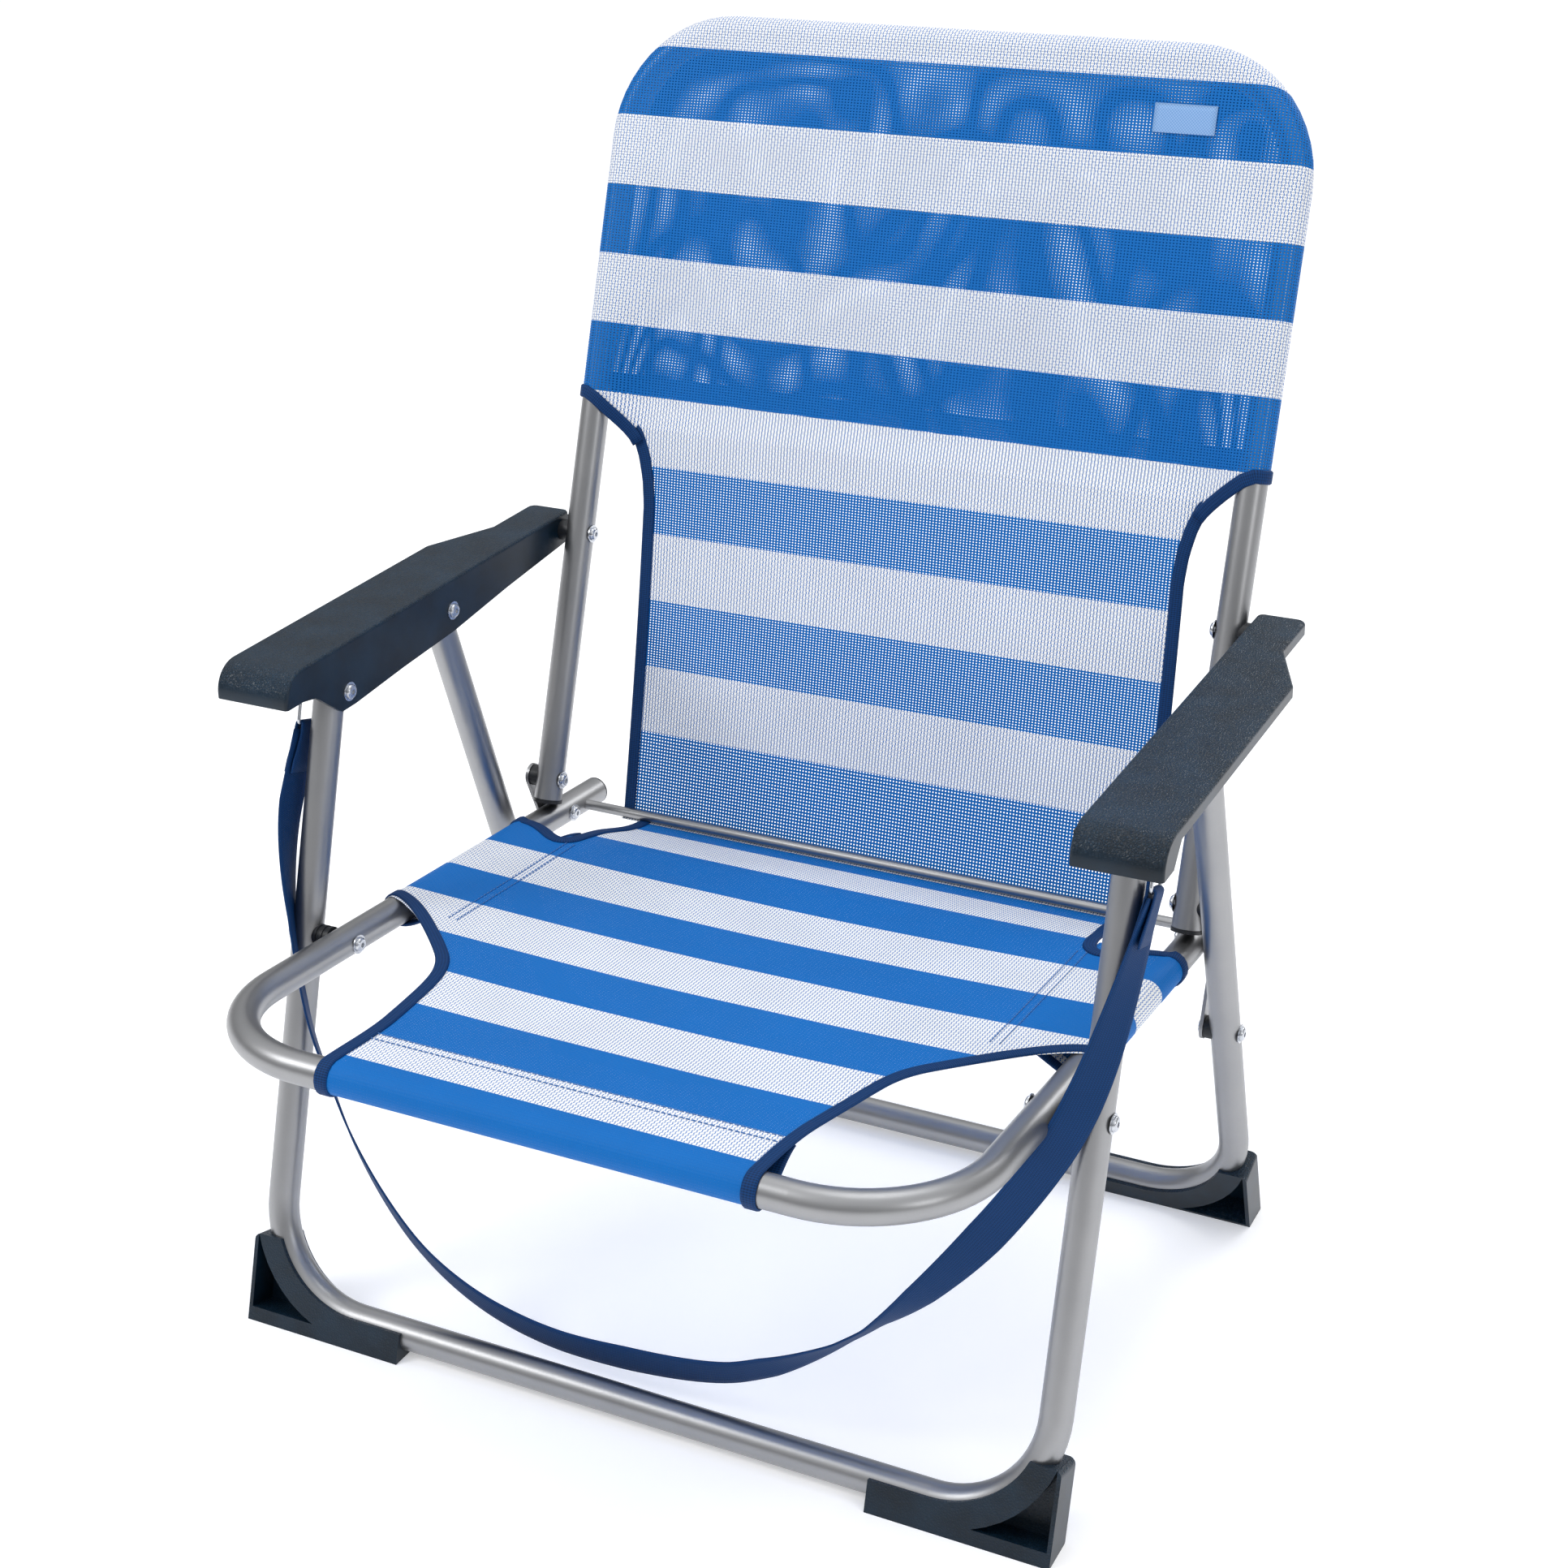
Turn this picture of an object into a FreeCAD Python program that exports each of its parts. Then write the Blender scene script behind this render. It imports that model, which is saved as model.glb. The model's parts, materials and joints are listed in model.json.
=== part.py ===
import FreeCAD, Part
import math
import os
import Sketcher
from FreeCAD import Placement, Rotation, Vector

# Folding beach chair, in millimetres. Z is up, Y runs from the front of the chair to the back,
# X runs from the sitter's right-hand side of the drawing (negative) to the left (positive).
# The origin is on the floor, under the middle of the chair as it stands open.

# Every size that drives the chair: (alias, value, meaning). Side-view positions are (y, z).
SIZES = [
    ("tube_od", 22, "outer diameter of every frame tube"),
    ("tube_wall", 1.2, "wall of the frame tubes"),
    ("leg_spread", 595, "between the axes of the two legs of a leg frame"),
    ("rail_spread", 530, "between the axes of the two seat rails, and of the two back posts"),
    ("leg_bend", 75, "bend of the leg frames at the floor, on the tube axis"),
    ("seat_bend", 90, "bend of the seat frame at the front corners, on the tube axis"),
    ("back_bend", 85, "bend of the backrest frame at the top corners, on the tube axis"),
    ("sole", 3, "plastic between the leg tube and the floor"),
    ("front_bar_y", -218.8, "front floor bar, axis"),
    ("rear_bar_y", 195.0, "rear floor bar, axis"),
    ("arm_front_y", -95.4, "pivot of the front leg in the armrest"),
    ("arm_front_z", 443.1, "the same pivot, height"),
    ("arm_mid_y", 37.2, "pivot of the rear leg in the armrest"),
    ("arm_mid_z", 459.3, "the same pivot, height"),
    ("arm_rear_y", 195.7, "pivot of the armrest on the back post"),
    ("arm_rear_z", 474.6, "the same pivot, height"),
    ("recline", 18.2, "backrest, degrees from upright"),
    ("back_above", 392.5, "from the armrest pivot up to the axis of the top bar"),
    ("back_below", 196.4, "from the armrest pivot down to the link pivot"),
    ("post_tail", 16.5, "back post below the link pivot"),
    ("seat_front_y", -319.0, "front bar of the seat, axis"),
    ("seat_front_z", 285.0, "the same bar, height"),
    ("seat_fall", 3.85, "slope of the seat down to the rear, degrees"),
    ("seat_link", 469.6, "from the front bar back to the link pivot on the rail"),
    ("seat_rod", 490.5, "from the front bar back to the cross rod"),
    ("rail_length", 520.5, "from the front bar back to the open ends of the rails"),
    ("leg_link_z", 196.2, "height of the link pivot on the rear leg"),
    ("leg_head", 13, "leg tube above its armrest pivot"),
    ("bolt_radius", 3, "shank of every pivot screw"),
    ("bolt_play", 0.05, "running clearance round a shank, on the radius"),
    ("washer_radius", 6.9, "washer under a screw head"),
    ("head_radius", 5.3, "screw head"),
    ("head_height", 2.7, "screw head above its washer"),
    ("washer_height", 0.7, "washer"),
    ("bush_radius", 8.2, "black spacer bush"),
    ("link_width", 18, "link plate"),
    ("link_plate", 2.5, "thickness of the link plate"),
    ("link_gap", 4.3, "from the face of the rail to the link plate"),
    ("rod_radius", 4, "cross rod"),
    ("arm_inset", 5, "from the face of the back post to the inner wall of the armrest"),
    ("arm_width", 59, "armrest over its wide part"),
    ("arm_tail_width", 35.5, "armrest at its narrow rear end"),
    ("arm_top", 36.2, "top of the armrest above the front pivot"),
    ("arm_slope", 1.6, "rise of the armrest to the rear, degrees"),
    ("arm_wall", 3.5, "wall of the armrest moulding"),
    ("arm_rim", 9, "depth of the armrest's outer rim"),
    ("arm_nose", 21, "outside radius of the armrest's nose"),
    ("foot_depth", 27, "foot, front face to rear face"),
    ("foot_bar", 116, "foot along the floor bar, from the leg axis inwards"),
    ("foot_rise", 47, "foot above the bar axis at the leg"),
    ("cloth", 1.1, "layer of fabric"),
    ("sock_height", 297.5, "double part of the back fabric, from the tube crown down"),
    ("panel_half", 223, "half the width of the single panel between sock and rod"),
    ("strap_tube", 8, "carrying strap, gathered to a round section of the same weight"),
    ("wire", 2.4, "wire of the strap loops"),
]

doc = FreeCAD.newDocument("BeachChair")
sheet = doc.addObject("Spreadsheet::Sheet", "Sizes")


class Dim:
    """A size with the spreadsheet expression that produces it, so that one formula gives both."""

    def __init__(self, value, text=None):
        self.value = float(value)
        self.text = repr(float(value)) if text is None else text

    @staticmethod
    def of(other):
        return other if isinstance(other, Dim) else Dim(other)

    def __add__(self, other):
        other = Dim.of(other)
        return Dim(self.value + other.value, f"({self.text} + {other.text})")

    def __sub__(self, other):
        other = Dim.of(other)
        return Dim(self.value - other.value, f"({self.text} - {other.text})")

    def __mul__(self, other):
        other = Dim.of(other)
        return Dim(self.value * other.value, f"({self.text} * {other.text})")

    def __truediv__(self, other):
        other = Dim.of(other)
        return Dim(self.value / other.value, f"({self.text} / {other.text})")

    def __radd__(self, other):
        return Dim.of(other) + self

    def __rsub__(self, other):
        return Dim.of(other) - self

    def __rmul__(self, other):
        return Dim.of(other) * self

    def __neg__(self):
        return Dim(-self.value, f"(-1 * {self.text})")

    def __float__(self):
        return self.value


def sine(angle):
    return Dim(math.sin(math.radians(angle.value)), f"sin({angle.text})")


def cosine(angle):
    return Dim(math.cos(math.radians(angle.value)), f"cos({angle.text})")


def root(square):
    return Dim(math.sqrt(square.value), f"sqrt({square.text})")


def fill_sheet():
    """Write the sizes to the sheet and return them by alias."""
    sizes = {}
    for row, (alias, value, meaning) in enumerate(SIZES, start=1):
        sheet.set(f"A{row}", meaning)
        sheet.set(f"B{row}", str(value))
        sheet.setAlias(f"B{row}", alias)
    doc.recompute()
    for alias, _, _ in SIZES:
        sizes[alias] = Dim(sheet.get(alias), f"Sizes.{alias}")
    return sizes


S = fill_sheet()

# Sizes that follow from the sheet.
TUBE = S["tube_od"] / 2
BORE = TUBE - S["tube_wall"]
LEG_X = S["leg_spread"] / 2
RAIL_X = S["rail_spread"] / 2
RAIL_IN = RAIL_X - TUBE
RAIL_OUT = RAIL_X + TUBE
LEG_IN = LEG_X - TUBE
LEG_OUT = LEG_X + TUBE
HOLE = S["bolt_radius"] + S["bolt_play"]
LINK_X = RAIL_OUT + S["link_gap"]
LINK_END = LINK_X + S["link_plate"]
ARM_X = RAIL_OUT + S["arm_inset"]
OPEN_GAP = Dim(0.3)


class Spot:
    """A point of the side view."""

    def __init__(self, y, z):
        self.y = Dim.of(y)
        self.z = Dim.of(z)

    def along(self, way, far):
        far = Dim.of(far)
        return Spot(self.y + way.y * far, self.z + way.z * far)

    def to(self, other):
        """Distance to another spot."""
        dy = other.y - self.y
        dz = other.z - self.z
        return root(dy * dy + dz * dz)

    def way_to(self, other):
        far = self.to(other)
        return Spot((other.y - self.y) / far, (other.z - self.z) / far)

    def angle_to(self, other):
        """Direction to another spot, degrees from +Y towards +Z."""
        dy = other.y.value - self.y.value
        dz = other.z.value - self.z.value
        return math.degrees(math.atan2(dz, dy))


def crossing(a, b, c, d):
    """Where the line a-b meets the line c-d."""
    ry, rz = b.y - a.y, b.z - a.z
    sy, sz = d.y - c.y, d.z - c.z
    share = ((c.y - a.y) * sz - (c.z - a.z) * sy) / (ry * sz - rz * sy)
    return Spot(a.y + ry * share, a.z + rz * share)


BAR_Z = TUBE + S["sole"]
FRONT_BAR = Spot(S["front_bar_y"], BAR_Z)
REAR_BAR = Spot(S["rear_bar_y"], BAR_Z)
ARM_FRONT = Spot(S["arm_front_y"], S["arm_front_z"])
ARM_MID = Spot(S["arm_mid_y"], S["arm_mid_z"])
ARM_REAR = Spot(S["arm_rear_y"], S["arm_rear_z"])
BACK_WAY = Spot(sine(S["recline"]), cosine(S["recline"]))
BACK_LINK = ARM_REAR.along(BACK_WAY, -S["back_below"])
BACK_TAIL = BACK_LINK.along(BACK_WAY, -S["post_tail"])
SEAT_BAR = Spot(S["seat_front_y"], S["seat_front_z"])
SEAT_WAY = Spot(cosine(S["seat_fall"]), -sine(S["seat_fall"]))
SEAT_LINK = SEAT_BAR.along(SEAT_WAY, S["seat_link"])
SEAT_TAIL = SEAT_BAR.along(SEAT_WAY, S["rail_length"])
SEAT_LEG = crossing(SEAT_BAR, SEAT_TAIL, FRONT_BAR, ARM_FRONT)
LEG_LINK = crossing(
    REAR_BAR, ARM_MID, Spot(0, S["leg_link_z"]), Spot(100, S["leg_link_z"])
)
FRONT_TOP = ARM_FRONT.along(FRONT_BAR.way_to(ARM_FRONT), S["leg_head"])
REAR_TOP = ARM_MID.along(REAR_BAR.way_to(ARM_MID), S["leg_head"])


def tilt(start, end):
    """Turn about X that swings local -Z to the direction from start to end."""
    dy = end.y.value - start.y.value
    dz = end.z.value - start.z.value
    return math.degrees(math.atan2(dy, -dz))


FRONT_TILT = tilt(FRONT_TOP, FRONT_BAR)
REAR_TILT = tilt(REAR_TOP, REAR_BAR)
SEAT_TILT = tilt(SEAT_TAIL, SEAT_BAR)
BACK_TILT = 180 - S["recline"].value

# ---------------------------------------------------------------- drawing helpers


def place(thing, spot, turn=0.0, x=0.0):
    """Put an object at a side-view spot, turned about X; the spot stays bound to the sheet."""
    thing.Placement = Placement(
        Vector(float(x), spot.y.value, spot.z.value), Rotation(Vector(1, 0, 0), turn)
    )
    thing.setExpression("Placement.Base.y", spot.y.text)
    thing.setExpression("Placement.Base.z", spot.z.text)
    return thing


def new_body(label):
    body = doc.addObject("PartDesign::Body", label)
    body.Label = label
    return body


def sketch_on(body, role, name, offset=None):
    """A sketch on one of the body's own origin planes."""
    sketch = body.newObject("Sketcher::SketchObject", name)
    plane = [f for f in body.Origin.OriginFeatures if f.Role == role][0]
    sketch.AttachmentSupport = [(plane, "")]
    sketch.MapMode = "FlatFace"
    if offset is not None:
        sketch.AttachmentOffset = offset
    return sketch


def bind(sketch, kind, *where):
    """Add a constraint whose last item is a Dim, and bind it to its expression."""
    size = Dim.of(where[-1])
    index = sketch.addConstraint(Sketcher.Constraint(kind, *where[:-1], size.value))
    sketch.setExpression(f"Constraints[{index}]", size.text)


def pin_point(sketch, shape, end, u, v):
    """Fix a point of the sketch at (u, v) from its origin."""
    for kind, axis, size in (("DistanceX", -2, Dim.of(u)), ("DistanceY", -1, Dim.of(v))):
        if abs(size.value) < 1e-9:
            sketch.addConstraint(Sketcher.Constraint("PointOnObject", shape, end, axis))
        else:
            bind(sketch, kind, -1, 1, shape, end, size)


def add_circle(sketch, u, v, radius):
    u, v, radius = Dim.of(u), Dim.of(v), Dim.of(radius)
    circle = Part.Circle(Vector(u.value, v.value, 0), Vector(0, 0, 1), radius.value)
    shape = sketch.addGeometry(circle, False)
    bind(sketch, "Radius", shape, radius)
    pin_point(sketch, shape, 3, u, v)


def add_outline(sketch, points):
    """A closed outline of straight lines through (u, v) points."""
    spots = [(Dim.of(u), Dim.of(v)) for u, v in points]
    shapes = []
    for k, (u, v) in enumerate(spots):
        nu, nv = spots[(k + 1) % len(spots)]
        line = Part.LineSegment(Vector(u.value, v.value, 0), Vector(nu.value, nv.value, 0))
        shapes.append(sketch.addGeometry(line, False))
    for k, shape in enumerate(shapes):
        after = shapes[(k + 1) % len(shapes)]
        sketch.addConstraint(Sketcher.Constraint("Coincident", shape, 2, after, 1))
    for shape, (u, v) in zip(shapes, spots):
        pin_point(sketch, shape, 1, u, v)


def add_slot(sketch, length, radius):
    """A slot with one centre at the origin and the other at (length, 0)."""
    length, radius = Dim.of(length), Dim.of(radius)
    far, r = length.value, radius.value
    up = Vector(0, 0, 1)
    left = Part.ArcOfCircle(Part.Circle(Vector(0, 0, 0), up, r), math.pi / 2, 1.5 * math.pi)
    right = Part.ArcOfCircle(Part.Circle(Vector(far, 0, 0), up, r), -math.pi / 2, math.pi / 2)
    low = Part.LineSegment(Vector(0, -r, 0), Vector(far, -r, 0))
    high = Part.LineSegment(Vector(far, r, 0), Vector(0, r, 0))
    a, b, c, d = (sketch.addGeometry(g, False) for g in (left, low, right, high))
    for first, p, second, q in ((a, 2, b, 1), (b, 2, c, 1), (c, 2, d, 1), (d, 2, a, 1)):
        sketch.addConstraint(Sketcher.Constraint("Tangent", first, p, second, q))
    sketch.addConstraint(Sketcher.Constraint("Coincident", a, 3, -1, 1))
    sketch.addConstraint(Sketcher.Constraint("PointOnObject", c, 3, -1))
    bind(sketch, "DistanceX", -1, 1, c, 3, length)
    bind(sketch, "Radius", a, radius)


def pad(body, sketch, length, both=False, back=False, name="Pad"):
    feature = body.newObject("PartDesign::Pad", name)
    feature.Profile = sketch
    feature.SideType = "Symmetric" if both else "One side"
    feature.Reversed = back
    length = Dim.of(length)
    feature.Length = length.value
    feature.setExpression("Length", length.text)
    doc.recompute()
    return feature


def pocket(body, sketch, length=None, both=True, back=False, name="Pocket"):
    """Cut a sketch out of the body: right through both ways, or over a length."""
    before = body.Shape.Volume
    feature = body.newObject("PartDesign::Pocket", name)
    feature.Profile = sketch
    feature.SideType = "Symmetric" if both else "One side"
    feature.Reversed = back
    if length is None:
        feature.Type = "ThroughAll"
    else:
        length = Dim.of(length)
        feature.Length = length.value
        feature.setExpression("Length", length.text)
    doc.recompute()
    if not body.Shape.Volume < before - 1e-3:
        raise RuntimeError(f"{body.Label}: {name} removes nothing")
    return feature


def mirror_in_body(body, feature_names):
    """Repeat features of the body on the other side of the chair's middle plane."""
    plane = [f for f in body.Origin.OriginFeatures if f.Role == "YZ_Plane"][0]
    mirrored = body.newObject("PartDesign::Mirrored", "OtherSide")
    mirrored.Originals = feature_names
    mirrored.MirrorPlane = (plane, [""])
    body.Tip = mirrored
    doc.recompute()


def edges_where(shape, test):
    """Names of the edges whose points all pass the test."""
    names = []
    for k, edge in enumerate(shape.Edges, start=1):
        first, last = edge.ParameterRange
        spots = [edge.valueAt(first + (last - first) * t / 4) for t in range(5)]
        if all(test(p) for p in spots):
            names.append(f"Edge{k}")
    return names


def fillet(body, test, radius, name="Round"):
    base = body.Tip
    names = edges_where(base.Shape, test)
    if not names:
        raise RuntimeError(f"{body.Label}: {name} finds no edge")
    feature = body.newObject("PartDesign::Fillet", name)
    feature.Base = (base, names)
    radius = Dim.of(radius)
    feature.Radius = radius.value
    feature.setExpression("Radius", radius.text)
    doc.recompute()
    return feature


def mirrored_copy(label, source):
    """The same moulding for the other side of the chair."""
    copy = doc.addObject("Part::Mirroring", label)
    copy.Label = label
    copy.Source = source
    copy.Normal = Vector(1, 0, 0)
    doc.recompute()
    return copy


# ---------------------------------------------------------------- bent tube frames


def add_u_path(sketch, half, reach, bend):
    """Two legs down local -Z joined by a bar, with round corners: the axis of a bent frame."""
    h, deep, r = half.value, reach.value, bend.value
    up = Vector(0, 0, 1)
    quarter = math.pi / 2
    corner_a = Part.Circle(Vector(r - h, r - deep, 0), up, r)
    corner_b = Part.Circle(Vector(h - r, r - deep, 0), up, r)
    parts = [
        Part.LineSegment(Vector(-h, 0, 0), Vector(-h, r - deep, 0)),
        Part.ArcOfCircle(corner_a, 2 * quarter, 3 * quarter),
        Part.LineSegment(Vector(r - h, -deep, 0), Vector(h - r, -deep, 0)),
        Part.ArcOfCircle(corner_b, 3 * quarter, 4 * quarter),
        Part.LineSegment(Vector(h, r - deep, 0), Vector(h, 0, 0)),
    ]
    a, b, c, d, e = (sketch.addGeometry(g, False) for g in parts)
    for first, p, second, q in ((a, 2, b, 1), (b, 2, c, 1), (c, 2, d, 1), (d, 2, e, 1)):
        sketch.addConstraint(Sketcher.Constraint("Tangent", first, p, second, q))
    sketch.addConstraint(Sketcher.Constraint("Vertical", a))
    sketch.addConstraint(Sketcher.Constraint("Vertical", e))
    sketch.addConstraint(Sketcher.Constraint("Horizontal", c))
    sketch.addConstraint(Sketcher.Constraint("Equal", b, d))
    sketch.addConstraint(Sketcher.Constraint("PointOnObject", a, 1, -1))
    sketch.addConstraint(Sketcher.Constraint("PointOnObject", e, 2, -1))
    bind(sketch, "DistanceX", -1, 1, a, 1, -half)
    bind(sketch, "DistanceX", -1, 1, e, 2, half)
    bind(sketch, "DistanceY", -1, 1, c, 1, -reach)
    bind(sketch, "Radius", b, bend)


def bent_frame(label, half, reach, bend, holes, spot, turn):
    """A U of round tube. Its open ends are at the spot; the bar lies reach along local -Z.

    holes: (distance from the open ends, radius, how far the cut reaches across the chair or None).
    """
    body = new_body(label)
    path = sketch_on(body, "XZ_Plane", f"{label}_axis")
    add_u_path(path, half, reach, bend)
    section = sketch_on(body, "XY_Plane", f"{label}_section")
    add_circle(section, -half, 0, TUBE)
    add_circle(section, -half, 0, BORE)
    doc.recompute()
    tube = body.newObject("PartDesign::AdditivePipe", f"{label}_tube")
    tube.Profile = section
    tube.Spine = (path, [])
    doc.recompute()
    for k, (far, radius, across) in enumerate(holes):
        drill = sketch_on(body, "YZ_Plane", f"{label}_drill{k}")
        add_circle(drill, 0, -Dim.of(far), radius)
        pocket(body, drill, across, name=f"{label}_hole{k}")
    return place(body, spot, turn)


frames = [
    bent_frame(
        "front_leg_frame",
        LEG_X,
        FRONT_TOP.to(FRONT_BAR),
        S["leg_bend"],
        [(S["leg_head"], HOLE, None), (FRONT_TOP.to(SEAT_LEG), HOLE, None)],
        FRONT_TOP,
        FRONT_TILT,
    ),
    bent_frame(
        "rear_leg_frame",
        LEG_X,
        REAR_TOP.to(REAR_BAR),
        S["leg_bend"],
        [(S["leg_head"], HOLE, None), (REAR_TOP.to(LEG_LINK), HOLE, None)],
        REAR_TOP,
        REAR_TILT,
    ),
    bent_frame(
        "seat_frame",
        RAIL_X,
        S["rail_length"],
        S["seat_bend"],
        [
            (S["rail_length"] - S["seat_link"], HOLE, None),
            (SEAT_TAIL.to(SEAT_LEG), HOLE, None),
            (S["rail_length"] - S["seat_rod"], S["rod_radius"] + 0.05, 2 * RAIL_X),
        ],
        SEAT_TAIL,
        SEAT_TILT,
    ),
    bent_frame(
        "backrest_frame",
        RAIL_X,
        S["post_tail"] + S["back_below"] + S["back_above"],
        S["back_bend"],
        [(S["post_tail"], HOLE, None), (S["post_tail"] + S["back_below"], HOLE, None)],
        BACK_TAIL,
        BACK_TILT,
    ),
]

# ---------------------------------------------------------------- tube ends


def tube_ends(label, flange_radius, flange, plug, spot, turn):
    """A pair of stoppers: a flange over the open tube end and a plug inside the bore."""
    body = new_body(label)
    rim = sketch_on(body, "XY_Plane", f"{label}_rim")
    add_circle(rim, RAIL_X, 0, flange_radius)
    pad(body, rim, flange, name=f"{label}_flange")
    stem = sketch_on(body, "XY_Plane", f"{label}_stem")
    add_circle(stem, RAIL_X, 0, BORE - 0.05)
    pad(body, stem, plug, back=True, name=f"{label}_plug")
    mirror_in_body(body, [doc.getObject(f"{label}_flange"), doc.getObject(f"{label}_plug")])
    return place(body, spot, turn)


tube_ends("seat_end_caps", TUBE, 1.5, 9, SEAT_TAIL, SEAT_TILT)
tube_ends("backrest_plugs", TUBE + 0.3, 3, 9, BACK_TAIL, BACK_TILT)

# ---------------------------------------------------------------- cross rod

rod = doc.addObject("Part::Cylinder", "cross_rod")
rod.Label = "cross_rod"
rod.setExpression("Radius", S["rod_radius"].text)
rod.setExpression("Height", (2 * RAIL_X - 1).text)
rod_spot = SEAT_BAR.along(SEAT_WAY, S["seat_rod"])
rod.Placement = Placement(
    Vector(0.5 - RAIL_X.value, rod_spot.y.value, rod_spot.z.value),
    Rotation(Vector(0, 1, 0), 90),
)
rod.setExpression("Placement.Base.x", (0.5 - RAIL_X).text)
rod.setExpression("Placement.Base.y", rod_spot.y.text)
rod.setExpression("Placement.Base.z", rod_spot.z.text)

# ---------------------------------------------------------------- screws, rivets and bushes


def turned(label, steps, spot, turn=0.0, rounds=(), socket=None, saddles=(), bore=None, pair=True):
    """Round pieces on an axis across the chair, one each side.

    steps: (x from, x to, radius) one after another. rounds: (x, radius) of the edges to round.
    socket: x of the end face that has a hexagon socket. saddles: x of the tubes whose round
    the piece is cut to. bore: radius of a hole right through.
    """
    body = new_body(label)
    side = sketch_on(body, "XZ_Plane", f"{label}_side")
    points = [(steps[0][0], 0)]
    for start, end, radius in steps:
        points += [(start, radius), (end, radius)]
    points.append((steps[-1][1], 0))
    add_outline(side, points)
    spin = body.newObject("PartDesign::Revolution", f"{label}_spin")
    spin.Profile = side
    spin.ReferenceAxis = (side, ["H_Axis"])
    spin.Angle = 360
    doc.recompute()
    for x, radius in rounds:
        level = Dim.of(x).value
        fillet(body, lambda p: abs(p.x - level) < 1e-4, radius, f"{label}_round")
    if socket is not None:
        at, size, deep = socket
        face = sketch_on(
            body,
            "YZ_Plane",
            f"{label}_hexagon",
            Placement(Vector(0, 0, Dim.of(at).value), Rotation()),
        )
        face.setExpression("AttachmentOffset.Base.z", Dim.of(at).text)
        corners = [
            (size * math.cos(k * math.pi / 3), size * math.sin(k * math.pi / 3)) for k in range(6)
        ]
        add_outline(face, corners)
        pocket(body, face, deep, both=True, name=f"{label}_socket")
    if bore is not None:
        eye = sketch_on(body, "YZ_Plane", f"{label}_eye")
        add_circle(eye, 0, 0, bore)
        pocket(body, eye, name=f"{label}_bore")
    for k, x in enumerate(saddles):
        ring = sketch_on(body, "XY_Plane", f"{label}_ring{k}")
        add_circle(ring, x, 0, TUBE + 0.02)
        pocket(body, ring, name=f"{label}_saddle{k}")
    if pair:
        whole = body.Tip
        plane = [f for f in body.Origin.OriginFeatures if f.Role == "YZ_Plane"][0]
        mirrored = body.newObject("PartDesign::Mirrored", f"{label}_pair")
        mirrored.TransformMode = "Whole shape"
        mirrored.MirrorPlane = (plane, [""])
        body.Tip = mirrored
        doc.recompute()
        if body.Shape.Volume < 1.9 * whole.Shape.Volume:
            raise RuntimeError(f"{label}: the other side is missing")
    return place(body, spot, turn)


BOLT = S["bolt_radius"]
WASHER = S["washer_radius"]
HEAD = S["head_radius"]
NUT = Dim(5.6)


def head_inwards(face):
    """Steps of a washer and domed head that sit on a face looking to the chair's middle."""
    low = face - S["washer_height"] - S["head_height"]
    return [(low, face - S["washer_height"], HEAD), (face - S["washer_height"], face, WASHER)]


def head_outwards(face):
    top = face + S["washer_height"]
    return [(face, top, WASHER), (top, top + S["head_height"], HEAD)]


def inward_screw(label, face, tip, end, spot):
    """Head towards the middle of the chair; end: steps after the shank, such as a nut."""
    steps = head_inwards(face) + [(face, tip, BOLT)] + end
    low = steps[0][0]
    return turned(label, steps, spot, rounds=[(low, 2.2)], socket=(low, 2.0, 2.4))


def outward_screw(label, start, face, spot):
    steps = [(start, face, BOLT)] + head_outwards(face)
    high = steps[-1][1]
    return turned(label, steps, spot, rounds=[(high, 2.2)], socket=(high, 2.0, 2.4))


LOOP_X = LEG_OUT + 6.5
LOOP_POST = LEG_OUT + 12
inward_screw(
    "arm_front_screws", ARM_X, LOOP_POST, [(LOOP_POST, LOOP_POST + 2.5, NUT)], ARM_FRONT
)
inward_screw(
    "arm_mid_screws", ARM_X, LEG_OUT + 0.1, [(LEG_OUT + 0.1, LEG_OUT + 3.6, NUT)], ARM_MID
)
ARM_IN = ARM_X + S["arm_wall"]
inward_screw(
    "arm_rear_screws", RAIL_IN, ARM_IN + 0.1, [(ARM_IN + 0.1, ARM_IN + 3.1, NUT)], ARM_REAR
)
inward_screw("seat_pivot_screws", RAIL_IN, RAIL_OUT - 0.1, [], SEAT_LEG)
LINK_CLOSE = LINK_END + 0.1
inward_screw("seat_link_screws", RAIL_IN, LINK_CLOSE, [(LINK_CLOSE, LINK_CLOSE + 2, NUT)], SEAT_LINK)
inward_screw("back_link_screws", RAIL_IN, LINK_CLOSE, [(LINK_CLOSE, LINK_CLOSE + 2, NUT)], BACK_LINK)
outward_screw("leg_pivot_screws", RAIL_OUT + OPEN_GAP, LEG_OUT, SEAT_LEG)
outward_screw("leg_link_screws", LINK_END + OPEN_GAP, LEG_OUT, LEG_LINK)


def ridged(start, end, count):
    """Steps of a bush with shallow grooves round it."""
    bush = S["bush_radius"]
    share = (end - start) / (2 * count + 1)
    steps = []
    for k in range(2 * count + 1):
        steps.append((start + share * k, start + share * (k + 1), bush if k % 2 == 0 else bush - 0.7))
    return steps


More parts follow.
